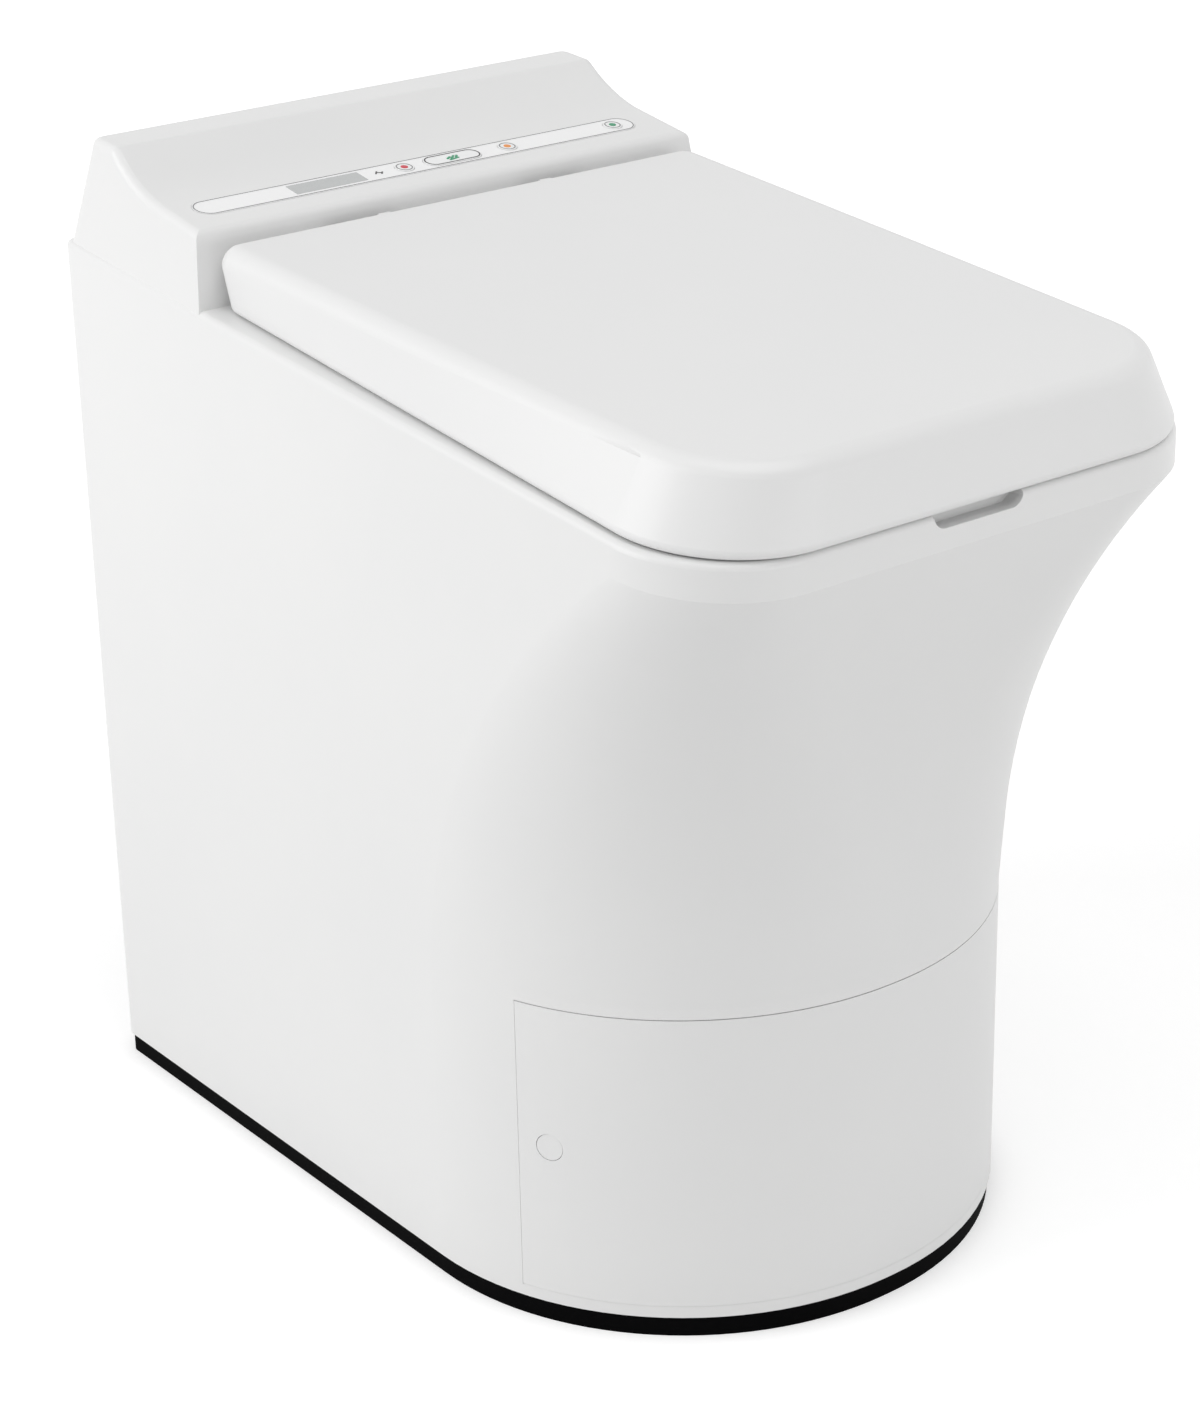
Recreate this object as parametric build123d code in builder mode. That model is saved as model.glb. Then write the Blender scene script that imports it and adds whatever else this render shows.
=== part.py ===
from build123d import *
import math
import os

# Incinerating toilet. Millimetres, X to the right, front towards -Y, Z up.
# The origin is on the floor, at the middle of the base tray's underside.
# A depth is measured forwards from the casing's flat rear face.

os.makedirs("parts", exist_ok=True)

# Casing, overall
casing_width = 368
floor_depth = 540.5
crest_height = 612
wall = 5
back_corner = 8
overrun = 4

# Deck, which slopes down to the front
deck_back_height = 535
deck_front_height = 498
lid_reach = 603
face_foot_depth = 152.5

# Front of the casing: a round skirt that grows into a squarer rim
skirt_corner_share = 0.985
morph_height = 208
cove_start = 277
cove_shares = (0, 0.2, 0.4, 0.58, 0.74, 0.88, 1)
corner_power_share = 1.54
band_height = 20
band_corner = 69
band_inset = 3.5
deck_edge = 4
recess_half = 31
recess_height = 8
recess_reach = 10
recess_wall = 3

# Raised console at the back
lean_height = 527
side_lean_share = 0.108
rear_lean_height = 535
crest_back_depth = 27
crest_front_depth = 54
crest_drop = 2
panel_top_depth = 103
panel_top_height = 586.2
panel_front_depth = 147
panel_front_height = 579
console_foot_drop = 30
console_round = 5

# Front hatch for the ash pan
hatch_depth = 422
hatch_bottom = 20
hatch_top = 202
hatch_thickness = 2.6
hatch_gap = 0.6
rebate_depth = 2.9
jamb = 6
hatch_rib_height = 7
hatch_rib_thickness = 2.5

# Round press catches of the hatch
catch_margin = 18.4
catch_height = 114
catch_radius = 8
catch_cap = 2.4
catch_stem_radius = 3.5
catch_stem_length = 9
catch_travel = 3
catch_boss_radius = 11
catch_floor = 2.5
catch_sink = 0.4
catch_collar = 1.2
catch_collar_radius = 5

# Base tray and pads
tray_height = 13
tray_inset = 2
tray_rim = 10
tray_floor = 3
lip_height = 5
lip_thickness = 3
pad_radius = 16
pad_thickness = 2.2
pad_margin = 74
pad_front_depth = 420
pad_back_depth = 70

# Clearances
seat_gap = 0.3
running_gap = 0.08
fit_gap = 0.3

# Lid
lid_gap = 0.8
lid_back_depth = 155.8
lid_back_width = 339
lid_front_width = 371
lid_top_back_width = 348
lid_top_front_width = 320
lid_back_height = 38.5
lid_front_height = 46
lid_front_corner = 72
lid_back_corner = 16
lid_draft = 9
lid_top_round = 11
lid_lip = 6
lid_lip_round = 4
console_lean = 3
lid_wall = 3.2
lid_chamfer_share = 0.58

# Lid and seat hinge
axis_below_lid_top = 14
axis_depth = 165
hinge_x = 70
pin_radius = 3
ear_radius = 7
ear_thickness = 8
post_thickness = 14
post_radius = 7
post_front = 11
post_back = 4
ear_start = 7.5
heel_radius = 24.5
notch_inner = 48
notch_outer = 92
notch_rise = 9.2

# Seat ring
seat_thickness = 16
bumper_height = 4
bumper_radius = 7
bumper_xs = (140, 142)
bumper_depths = (265, 490)
seat_margin = 5
seat_taper = 9
seat_back_depth = 192
seat_hole_x = 110
seat_hole_y = 138
seat_round = 5
bowl_depth = 377

# Bowl
bowl_rim_x = 122
bowl_rim_y = 148
bowl_flange = 12
bowl_sheet = 1.5
neck_radius = 82
neck_height = 416
outlet_height = 394.6

# Side frames, shelf and duct
frame_margin = 34
frame_sheet = 2
frame_back_depth = 95
frame_front_depth = 424
frame_top = 408
frame_flange = 20
frame_window_height = 50
frame_window_length = 56
frame_window_depths = (280, 370)
frame_window_heights = (60, 200, 350)
shelf_height = 108
shelf_back_depth = 232
duct_half_x = 114
duct_half_y = 90
duct_sheet = 1.5
duct_bottom = 300
duct_plate_y = 96

# Bowl flaps
flap_axis_x = 92
flap_axis_height = 394
flap_radius = 80
flap_sheet = 2
flap_sag = 14
flap_split_gap = 0.5
flap_lug_y = 55
flap_lug_width = 12
shaft_radius = 5
flap_hub_radius = 8
shaft_reach = 187
gear_offset = 155
gear_thickness = 6
gear_module = 4
gear_teeth = 46
gear_hub_radius = 13
gear_backlash = 0.35
gear_sector_teeth = 14
gear_teeth_inside = 12
tooth_offset_share = 0.5
root_share = 1.25
pressure_angle = 20
flank_shares = (0, 0.3, 0.6, 0.85, 1)
gear_plate_sheet = 2
gear_plate_gap = 2
gear_plate_top = 450
motor_box = 56
motor_box_length = 34
motor_can_radius = 22
motor_can_length = 40

# Combustion chamber
chamber_radius = 104
chamber_sheet = 2
chamber_top = 284
chamber_flange = 137
chamber_foot = 113
jacket_radius = 136
flue_radius = 28
flue_height = 215
element_radius = 95
element_tube = 3.5
element_heights = (244, 264)
element_lead_y = 14
probe_angle = 35
probe_radius = 3
probe_height = 180
probe_length = 62
probe_nut = 8

# Chamber cover on rails
cover_radius = 118
cover_gap = 1.5
cover_thickness = 9
cover_lug_y = 50
cover_lug_width = 16
cover_lug_reach = 139
cover_lug_height = 6
rail_inner_x = 127
rail_height = 16
rail_front_depth = 436
rail_back_depth = 98

# Ash pan
pan_radius = 115
pan_bottom = 30
pan_top = 102
pan_sheet = 1.5
pan_draft = 6
pan_rim = 3
pan_rail_x = 60
pan_rail_width = 14
pan_rail_length = 250
handle_half = 34
handle_reach = 28
handle_radius = 4
handle_corner = 10
handle_height = 80

# Exhaust
catalyst_radius = 46
catalyst_length = 92
catalyst_sheet = 1.5
cone_length = 14
core_cell_radius = 4
core_pitch_share = 1.1
core_cells = 9
spigot_radius = 55
spigot_wall = 3
spigot_out = 45
spigot_neck_cut = 1
spigot_neck_out = 1.5
spigot_front_depth = 62
spigot_flange = 66

# Fan
fan_depth = 78
fan_height = 83
fan_radius = 60
fan_half_width = 24
fan_sheet = 2.5
fan_eye = 26
fan_tube_height = 166
fan_outlet_depth = 37
fan_tube_radius = 17
impeller_radius = 50
impeller_half_width = 15
impeller_blades = 18
impeller_hub = 12
blade_thickness = 1.6
blade_angle = 35
fan_shaft_radius = 4
fan_shaft_length = 26
fan_motor_radius = 26
fan_motor_length = 46
fan_foot_depth = 60

# Rear panel, inlet, screws
panel_side = 44
panel_bottom = 36
panel_top = 330
panel_sheet = 1.5
panel_margin = 9
panel_corner = 10
louvre_count = 7
louvre_pitch = 10
louvre_length = 70
louvre_width = 4
louvre_x = -80
louvre_base = 64
screw_radius = 2
screw_head_radius = 4
screw_head = 1.6
screw_length = 8
inlet_x = 95
inlet_height = 66
inlet_width = 28
inlet_tall = 22
inlet_length = 26
inlet_flange = 3
inlet_pin_step = 7
inlet_pin_drop = -4
inlet_pin_width = 2
inlet_pin_tall = 5

# Control strip and keys
strip_depth = 119
strip_side = 25
strip_width = 20
strip_thickness = 1.2
strip_pocket = 1
strip_x = -3
display_x_share = -0.2233
display_length = 46
display_width = 12
flush_x_share = 0.0597
flush_length = 40
flush_width = 14
key_radius = 6
red_key_x_share = -0.0503
amber_key_x_share = 0.1887
green_key_x_share = 0.4434
key_proud = 0.5
key_travel = 1
key_flange = 1.5
key_flange_thickness = 1
board_drop = 10
board_end = 1
board_width = 24
board_sheet = 1.6
boss_radius = 3
boss_end = 7
dome_height = 1

# Power box and lid switch
power_length = 90
power_width = 34
power_height = 80
power_low = 196
power_depth = 196
switch_width = 12
switch_length = 18
switch_height = 10
switch_x = 118
switch_depth = 178

# Worked out from the sizes above
half_width = casing_width / 2
rear_y = floor_depth / 2
frame_x = half_width - frame_margin
panel_half_width = half_width - panel_side
pad_x = half_width - pad_margin
strip_length = casing_width - 2 * strip_side
display_x = strip_length * display_x_share
flush_x = strip_length * flush_x_share
red_key_x = strip_length * red_key_x_share
amber_key_x = strip_length * amber_key_x_share
green_key_x = strip_length * green_key_x_share
board_length = strip_length - 2 * board_end
boss_x = strip_length / 2 - boss_end
gear_depth = bowl_depth - gear_offset
shaft_back_depth = bowl_depth - shaft_reach


def y_at(depth):
    """Y of a point this far in front of the rear face."""
    return rear_y - depth


deck_fall = (deck_back_height - deck_front_height) / (lid_reach - face_foot_depth)
deck_angle = math.atan(deck_fall)


def deck_height(depth):
    """Height of the deck at a depth."""
    return deck_back_height - (depth - face_foot_depth) * deck_fall


def along(depth):
    """Distance along the sloping deck that matches a level depth."""
    return depth / math.cos(deck_angle)


def sloping(height, angle):
    """Plane through the rear face at a height, falling towards the front."""
    normal = (0, -math.sin(angle), math.cos(angle))
    return Plane(origin=(0, rear_y, height), x_dir=(1, 0, 0), z_dir=normal)


deck = sloping(deck_height(0), deck_angle)
bowl_y = y_at(bowl_depth)

band_reach = lid_reach - band_inset
band_foot = deck_height(band_reach) - band_height
cove_depth = band_reach - floor_depth
cove_rise = band_foot - cove_start
cove_radius = (cove_rise**2 + cove_depth**2) / (2 * cove_depth)
band_foot_back = deck_height(0) - band_height
skirt_corner = half_width * skirt_corner_share


def front_reach(height):
    """Reach of the casing's centre line: upright, then a concave arc out to the rim."""
    rise = max(0, height - cove_start)
    return floor_depth + cove_radius - math.sqrt(cove_radius**2 - rise**2)


def plan(inset, reach, corner):
    """Plan of the casing in the current sketch, its rear edge on the sketch's X axis."""
    with Locations((0, -reach / 2)):
        Rectangle(casing_width - 2 * inset, reach - 2 * inset)
    fillet(vertices().group_by(Axis.Y)[0], corner - inset)
    fillet(vertices().group_by(Axis.Y)[-1], max(back_corner - inset, 1))


def level(height):
    """Level plane whose origin is on the rear face."""
    return Plane(origin=(0, rear_y, height))


def body_form(inset, bottom):
    """Casing without its console, all faces drawn in by the inset."""
    with BuildPart() as body:
        with BuildSketch(level(bottom)):
            plan(inset, floor_depth, skirt_corner)
        extrude(amount=morph_height - bottom)
        for share in cove_shares:
            front = morph_height + (band_foot - morph_height) * share
            back = morph_height + (band_foot_back - morph_height) * share
            reach = front_reach(front)
            tilt = math.atan((back - front) / reach)
            corner = skirt_corner + (band_corner - skirt_corner) * share**corner_power_share
            with BuildSketch(sloping(back, tilt)):
                plan(inset, reach / math.cos(tilt), corner)
        loft()
        with BuildSketch(sloping(band_foot_back, deck_angle)):
            plan(inset, along(band_reach), band_corner)
        extrude(amount=band_height - inset, dir=(0, 0, 1))
    return body.part


def console_form(inset):
    """Raised console at the back, drawn in by the inset."""
    foot = deck_height(face_foot_depth) - console_foot_drop
    with BuildPart() as console:
        with BuildSketch(Plane.YZ):
            with BuildLine():
                foot_back = (y_at(0), foot)
                lean = (y_at(0), rear_lean_height)
                crest_back = (y_at(crest_back_depth), crest_height)
                crest_front = (y_at(crest_front_depth), crest_height - crest_drop)
                panel_top_point = (y_at(panel_top_depth), panel_top_height)
                panel_front = (y_at(panel_front_depth), panel_front_height)
                face_foot = (y_at(face_foot_depth), deck_back_height)
                foot_front = (y_at(face_foot_depth), foot)
                lower = (face_foot, foot_front, foot_back)
                Polyline(panel_top_point, panel_front, *lower, lean, crest_back, crest_front)
                slope = (panel_front_depth - panel_top_depth, panel_top_height - panel_front_height)
                TangentArc(panel_top_point, crest_front, tangent=slope)
            make_face()
            if inset:
                offset(amount=-inset, mode=Mode.REPLACE)
        extrude(amount=half_width, both=True)
        top_half = half_width - (crest_height - lean_height) * side_lean_share
        with BuildSketch(Plane.XZ):
            with BuildLine():
                Polyline(
                    (-half_width + inset, foot),
                    (-half_width + inset, lean_height),
                    (-top_half + inset, crest_height),
                    (top_half - inset, crest_height),
                    (half_width - inset, lean_height),
                    (half_width - inset, foot),
                    close=True,
                )
            make_face()
        extrude(amount=floor_depth, both=True, mode=Mode.INTERSECT)
    return console.part


def finish(piece, name):
    """Label a finished piece and write it as its own node."""
    piece.part.label = name
    export_step(piece.part, f"parts/{name}.step")


def slab(x_low, x_high, depth_front, depth_back, z_low, z_high, mode=Mode.ADD):
    """Upright block between two X, two depths and two heights."""
    middle = ((x_low + x_high) / 2, y_at((depth_front + depth_back) / 2), (z_low + z_high) / 2)
    with Locations(middle):
        Box(x_high - x_low, abs(depth_front - depth_back), z_high - z_low, mode=mode)


def rod(origin, direction, radius, length, mode=Mode.ADD):
    """Round bar from a point along a direction."""
    with BuildSketch(Plane(origin=origin, z_dir=direction)) as section:
        Circle(radius)
    extrude(section.sketch, amount=length, mode=mode)


def console_rounded():
    """Outer console with its back corners first, then all its upper edges, rounded."""
    with BuildPart() as console:
        add(console_form(0))
        behind = console.edges().filter_by(lambda e: e.center().Y > y_at(crest_back_depth))
        corners = behind.filter_by(lambda e: abs(e.center().X) > half_width - crest_back_depth)
        upright = corners.filter_by(lambda e: abs((e @ 0).Y - (e @ 1).Y) < e.length / 2)
        foot = min(e.center().Z for e in console.edges())
        fillet(upright.filter_by(lambda e: e.center().Z > foot + fit_gap), back_corner)
        low = panel_front_height - fit_gap
        upper = console.edges().filter_by(lambda e: min((e @ 0).Z, (e @ 1).Z) > low)
        fillet(upper.filter_by(lambda e: abs(e.center().Z - panel_top_height) > running_gap), console_round)
    return console.part


def body_rounded():
    """Outer body with the edge of its deck rounded."""
    with BuildPart() as body:
        add(body_form(0, tray_height))
        fillet(body.faces().sort_by(Axis.Z)[-1].edges(), deck_edge)
    return body.part


strip_slope = math.atan((panel_top_height - panel_front_height) / (panel_front_depth - panel_top_depth))
strip_height = panel_front_height + (panel_front_depth - strip_depth) * math.tan(strip_slope)
panel = Plane(
    origin=(0, y_at(strip_depth), strip_height),
    x_dir=(1, 0, 0),
    z_dir=(0, -math.sin(strip_slope), math.cos(strip_slope)),
)
round_keys = {"red_key": red_key_x, "amber_key": amber_key_x, "green_key": green_key_x}


def key_outlines(gap):
    """Outlines of the four keys in the current sketch, grown by a gap."""
    for x in round_keys.values():
        with Locations((x, 0)):
            Circle(key_radius + gap)
    with Locations((flush_x, 0)):
        SlotOverall(flush_length + 2 * gap, flush_width + 2 * gap)


# Hatch zone: the skin of the casing's front that the hatch takes
window_back = hatch_depth + jamb
window_low = hatch_bottom + jamb
window_high = hatch_top - jamb
with BuildPart() as hatch_zone:
    slab(-casing_width, casing_width, floor_depth + overrun, hatch_depth, hatch_bottom, hatch_top)
    add(body_form(rebate_depth, 0), mode=Mode.SUBTRACT)

# Places of the rear panel's screws
screw_x = panel_half_width - panel_margin / 2
screw_heights = (panel_bottom + panel_corner, (panel_bottom + panel_top) / 2, panel_top - panel_corner)
screw_places = [(side * screw_x, height) for side in (-1, 1) for height in screw_heights]
rear_face = Plane(origin=(0, rear_y, 0), x_dir=(1, 0, 0), z_dir=(0, -1, 0))
panel_middle = (panel_bottom + panel_top) / 2
panel_length = panel_top - panel_bottom

# Casing
with BuildPart() as casing:
    add(body_rounded())
    add(console_rounded())
    add(body_form(wall, 0), mode=Mode.SUBTRACT)
    add(console_form(wall), mode=Mode.SUBTRACT)
    # Opening for the bowl
    with BuildSketch(deck):
        with Locations((0, -along(bowl_depth))):
            Ellipse(bowl_rim_x + seat_gap, bowl_rim_y + seat_gap)
    extrude(amount=wall + overrun, both=True, mode=Mode.SUBTRACT)
    # Rebate and window of the hatch
    add(hatch_zone.part, mode=Mode.SUBTRACT)
    window_heights = (window_low, window_high)
    slab(-casing_width, casing_width, floor_depth + overrun, window_back, *window_heights, Mode.SUBTRACT)
    # Finger recess in the rim, with its own back wall
    slab(
        -recess_half - wall,
        recess_half + wall,
        band_reach - wall / 2,
        band_reach - recess_reach - recess_wall,
        deck_height(band_reach) - recess_height - recess_wall,
        deck_height(band_reach) - wall / 2,
    )
    recess_place = (0, y_at(band_reach), deck_height(band_reach))
    with BuildSketch(Plane(origin=recess_place, x_dir=(1, 0, 0), z_dir=(0, 1, 0))):
        SlotOverall(2 * recess_half, 2 * recess_height)
    extrude(amount=recess_reach, mode=Mode.SUBTRACT)
    # Pocket of the control strip, bosses of its board and holes of its keys
    with BuildSketch(panel):
        with Locations((strip_x, 0)):
            SlotOverall(strip_length + 2 * seat_gap, strip_width + 2 * seat_gap)
    extrude(amount=-strip_pocket, mode=Mode.SUBTRACT)
    with BuildSketch(panel.offset(-board_drop)):
        with Locations((-boss_x, 0), (boss_x, 0)):
            Circle(boss_radius)
    extrude(amount=board_drop - wall + fit_gap)
    with BuildSketch(panel):
        key_outlines(seat_gap)
    extrude(amount=-wall - strip_pocket, mode=Mode.SUBTRACT)
    # Service opening at the back with a rebate for its panel
    with BuildSketch(rear_face):
        with Locations((0, panel_middle)):
            RectangleRounded(2 * (panel_half_width + fit_gap), panel_length + 2 * fit_gap, panel_corner)
    extrude(amount=panel_sheet, mode=Mode.SUBTRACT)
    with BuildSketch(rear_face):
        with Locations((0, panel_middle)):
            Rectangle(2 * (panel_half_width - panel_margin), panel_length - 2 * panel_margin)
        with Locations(screw_places):
            Circle(screw_radius + running_gap)
    extrude(amount=wall + overrun, mode=Mode.SUBTRACT)
finish(casing, "casing")

# Ash hatch: curved skin, rib frame that enters the window, and a boss for each catch
catch_depth = hatch_depth + catch_margin
catch_turn = math.acos((catch_depth - floor_depth + skirt_corner) / skirt_corner)
catch_x = half_width - skirt_corner + skirt_corner * math.sin(catch_turn)
catch_hollow = catch_sink + catch_cap + catch_travel + fit_gap


def catch_plane(side):
    """Plane on the hatch's outer face at a catch, its normal pointing out."""
    return Plane(
        origin=(side * catch_x, y_at(catch_depth), catch_height),
        z_dir=(side * math.sin(catch_turn), -math.cos(catch_turn), 0),
    )


def disc(plane, start, amount, radius, mode=Mode.ADD):
    """Round step on a plane, from one offset for an amount."""
    with BuildSketch(plane.offset(start)) as step:
        Circle(radius)
    extrude(step.sketch, amount=amount, mode=mode)


def window_block(gap, mode=Mode.ADD):
    """Block that fills the hatch window, drawn in by a gap."""
    front = floor_depth + overrun
    slab(-casing_width, casing_width, front, window_back + gap, window_low + gap, window_high - gap, mode)


with BuildPart() as rib_frame:
    window_block(fit_gap)
    window_block(fit_gap + hatch_rib_thickness, Mode.SUBTRACT)
    add(body_form(rebate_depth - fit_gap, 0), mode=Mode.INTERSECT)
    add(body_form(rebate_depth + hatch_rib_height, 0), mode=Mode.SUBTRACT)

with BuildPart() as ash_hatch:
    add(body_form(0, 0))
    add(body_form(hatch_thickness, 0), mode=Mode.SUBTRACT)
    slab(
        -casing_width,
        casing_width,
        floor_depth + overrun,
        hatch_depth + hatch_gap,
        hatch_bottom + hatch_gap,
        hatch_top - hatch_gap,
        Mode.INTERSECT,
    )
    add(rib_frame.part)
    for side in (-1, 1):
        face = catch_plane(side)
        boss_end_offset = -catch_hollow - catch_floor
        disc(face, -hatch_thickness / 2, boss_end_offset + hatch_thickness / 2, catch_boss_radius)
        disc(face, overrun, -overrun - catch_hollow, catch_radius + seat_gap, Mode.SUBTRACT)
        disc(face, 0, boss_end_offset - overrun, catch_stem_radius + seat_gap, Mode.SUBTRACT)
finish(ash_hatch, "ash_hatch")

for side, name in ((-1, "hatch_catch_left"), (1, "hatch_catch_right")):
    with BuildPart() as hatch_catch:
        face = catch_plane(side)
        disc(face, -catch_sink, -catch_cap, catch_radius)
        disc(face, -catch_sink - catch_cap, -catch_stem_length, catch_stem_radius)
        disc(face, -catch_hollow - catch_floor - fit_gap, -catch_collar, catch_collar_radius)
    finish(hatch_catch, name)

# Base tray with a lip inside the casing, its pads and the pan's rails
with BuildPart() as tray_lip:
    with BuildSketch(level(tray_height - tray_inset)):
        plan(wall + fit_gap, floor_depth, skirt_corner)
    extrude(amount=tray_inset + lip_height)
    with BuildSketch(level(tray_height - tray_inset)):
        plan(wall + fit_gap + lip_thickness, floor_depth, skirt_corner)
    extrude(amount=tray_inset + lip_height, mode=Mode.SUBTRACT)

pad_depths = (pad_back_depth, pad_front_depth)
pad_places = [(side * pad_x, y_at(depth)) for side in (-1, 1) for depth in pad_depths]
with BuildPart() as base_tray:
    with BuildSketch(level(0)):
        plan(tray_inset, floor_depth, skirt_corner)
    extrude(amount=tray_height)
    with BuildSketch(level(tray_floor)):
        plan(tray_inset + tray_rim, floor_depth, skirt_corner)
    extrude(amount=tray_height, mode=Mode.SUBTRACT)
    add(tray_lip.part)
    with BuildSketch(Plane.XY):
        with Locations(pad_places):
            Circle(pad_radius + seat_gap)
    extrude(amount=pad_thickness, mode=Mode.SUBTRACT)
finish(base_tray, "base_tray")

with BuildPart() as foot_pads:
    with BuildSketch(Plane.XY):
        with Locations(pad_places):
            Circle(pad_radius)
    extrude(amount=pad_thickness)
finish(foot_pads, "foot_pads")

with BuildPart() as pan_rails:
    for side in (-1, 1):
        inner = side * pan_rail_x - pan_rail_width / 2
        depths = (bowl_depth + pan_rail_length / 2, bowl_depth - pan_rail_length / 2)
        slab(inner, inner + pan_rail_width, *depths, tray_floor, pan_bottom - fit_gap)
finish(pan_rails, "pan_rails")


def ring(profile, mode=Mode.ADD):
    """Body of revolution about the bowl's upright centre line, from radius and height pairs."""
    with BuildSketch(Plane(origin=(0, bowl_y, 0), x_dir=(1, 0, 0), z_dir=(0, -1, 0))) as half:
        with BuildLine():
            Polyline(*profile, close=True)
        make_face()
    revolve(half.sketch, axis=Axis((0, bowl_y, 0), (0, 0, 1)), mode=mode)


pan_foot = pan_radius - pan_draft
with BuildPart() as pan_solid:
    brim = pan_top - pan_sheet
    ring([(0, pan_bottom), (pan_foot, pan_bottom), (pan_radius, brim), (0, brim)])

with BuildPart() as ash_pan:
    ring(
        [
            (0, pan_bottom),
            (pan_foot, pan_bottom),
            (pan_radius, pan_top - pan_sheet),
            (pan_radius + pan_rim, pan_top - pan_sheet),
            (pan_radius + pan_rim, pan_top),
            (pan_radius - pan_sheet, pan_top),
            (pan_foot - pan_sheet, pan_bottom + pan_sheet),
            (0, pan_bottom + pan_sheet),
        ]
    )
finish(ash_pan, "ash_pan")

with BuildPart() as pan_handle:
    front = y_at(bowl_depth + pan_radius + handle_reach)
    with BuildLine():
        FilletPolyline(
            (-handle_half, bowl_y, handle_height),
            (-handle_half, front, handle_height),
            (handle_half, front, handle_height),
            (handle_half, bowl_y, handle_height),
            radius=handle_corner,
        )
    with BuildSketch(Plane(origin=(-handle_half, bowl_y, handle_height), z_dir=(0, -1, 0))):
        Circle(handle_radius)
    sweep()
    add(pan_solid.part, mode=Mode.SUBTRACT)
finish(pan_handle, "pan_handle")

# Shelf and side frames
with BuildPart() as chamber_shelf:
    slab(-frame_x, frame_x, frame_front_depth, shelf_back_depth, shelf_height, shelf_height + frame_sheet)
    with BuildSketch(Plane(origin=(0, bowl_y, shelf_height))):
        Circle(chamber_foot + overrun)
    extrude(amount=frame_sheet)
    with BuildSketch(Plane(origin=(0, bowl_y, shelf_height))):
        Circle(chamber_radius)
    extrude(amount=frame_sheet, mode=Mode.SUBTRACT)
finish(chamber_shelf, "chamber_shelf")

for side, name in ((-1, "side_frame_left"), (1, "side_frame_right")):
    with BuildPart() as side_frame:
        inner = side * (frame_x - frame_flange)
        web = (side * frame_x, side * (frame_x + frame_sheet))
        slab(min(web), max(web), frame_front_depth, frame_back_depth, tray_floor, frame_top)
        flange = (min(inner, web[1]), max(inner, web[1]))
        slab(*flange, frame_front_depth, frame_back_depth, tray_floor, tray_floor + frame_sheet)
        slab(*flange, frame_front_depth, frame_back_depth, frame_top - frame_sheet, frame_top)
        slab(*flange, frame_front_depth, shelf_back_depth, shelf_height - frame_sheet, shelf_height)
        with BuildSketch(Plane(origin=(side * frame_x, 0, 0), x_dir=(0, -1, 0), z_dir=(side, 0, 0))):
            columns = [-y_at(depth) for depth in frame_window_depths]
            with Locations([(column, -side * z) for column in columns for z in frame_window_heights]):
                RectangleRounded(frame_window_length, frame_window_height, panel_corner)
        extrude(amount=frame_sheet, mode=Mode.SUBTRACT)
    finish(side_frame, name)

# Combustion chamber, its jacket, heating element and probe
base = shelf_height + frame_sheet
chamber_inner = chamber_radius - chamber_sheet
axis_point = (0, bowl_y, flue_height)
with BuildPart() as combustion_chamber:
    ring(
        [
            (chamber_inner, base),
            (chamber_foot, base),
            (chamber_foot, base + chamber_sheet),
            (chamber_radius, base + chamber_sheet),
            (chamber_radius, chamber_top),
            (chamber_flange, chamber_top),
            (chamber_flange, chamber_top + chamber_sheet),
            (chamber_inner, chamber_top + chamber_sheet),
        ]
    )
    rod(axis_point, (0, 1, 0), flue_radius, jacket_radius + cone_length / 2)
    ring([(0, base), (chamber_inner, base), (chamber_inner, chamber_top), (0, chamber_top)], Mode.SUBTRACT)
    rod(axis_point, (0, 1, 0), flue_radius - chamber_sheet, jacket_radius + cone_length, Mode.SUBTRACT)

probe_turn = math.radians(probe_angle)
probe_way = (math.cos(probe_turn), math.sin(probe_turn), 0)


def probe_point(radius):
    """Point on the probe's line at a radius from the chamber's axis."""
    return (radius * probe_way[0], bowl_y + radius * probe_way[1], probe_height)


def lead_bars(radius, length, mode=Mode.ADD):
    """Bars of the heating element's leads, which leave to the left."""
    for height in element_heights:
        for side in (-1, 1):
            rod((-element_lead_x, bowl_y + side * element_lead_y, height), (-1, 0, 0), radius, length, mode)


element_lead_x = math.sqrt(element_radius**2 - element_lead_y**2)
lead_length = jacket_radius + cone_length / 2 - element_lead_x
with BuildPart() as combustion_chamber_drilled:
    add(combustion_chamber.part)
    lead_bars(element_tube + seat_gap, lead_length, Mode.SUBTRACT)
    rod(probe_point(0), probe_way, probe_radius + running_gap, jacket_radius, Mode.SUBTRACT)
finish(combustion_chamber_drilled, "combustion_chamber")

with BuildPart() as insulation_jacket:
    low = base + chamber_sheet + seat_gap
    high = chamber_top - seat_gap
    within = chamber_radius + chamber_sheet
    ring([(within, low), (jacket_radius, low), (jacket_radius, high), (within, high)])
    rod(axis_point, (0, 1, 0), flue_radius + seat_gap, casing_width, Mode.SUBTRACT)
    lead_bars(element_tube + seat_gap, lead_length, Mode.SUBTRACT)
    rod(probe_point(0), probe_way, probe_radius + running_gap, casing_width, Mode.SUBTRACT)
finish(insulation_jacket, "insulation_jacket")

with BuildPart() as heating_element:
    with Locations([(0, bowl_y, height) for height in element_heights]):
        Torus(element_radius, element_tube)
    lead_bars(element_tube, lead_length)
finish(heating_element, "heating_element")

with BuildPart() as temperature_probe:
    rod(probe_point(jacket_radius + probe_nut - probe_length), probe_way, probe_radius, probe_length)
    with BuildSketch(Plane(origin=probe_point(jacket_radius + seat_gap), z_dir=probe_way)):
        RegularPolygon(probe_nut, 6)
    extrude(amount=probe_nut)
finish(temperature_probe, "temperature_probe")

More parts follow.
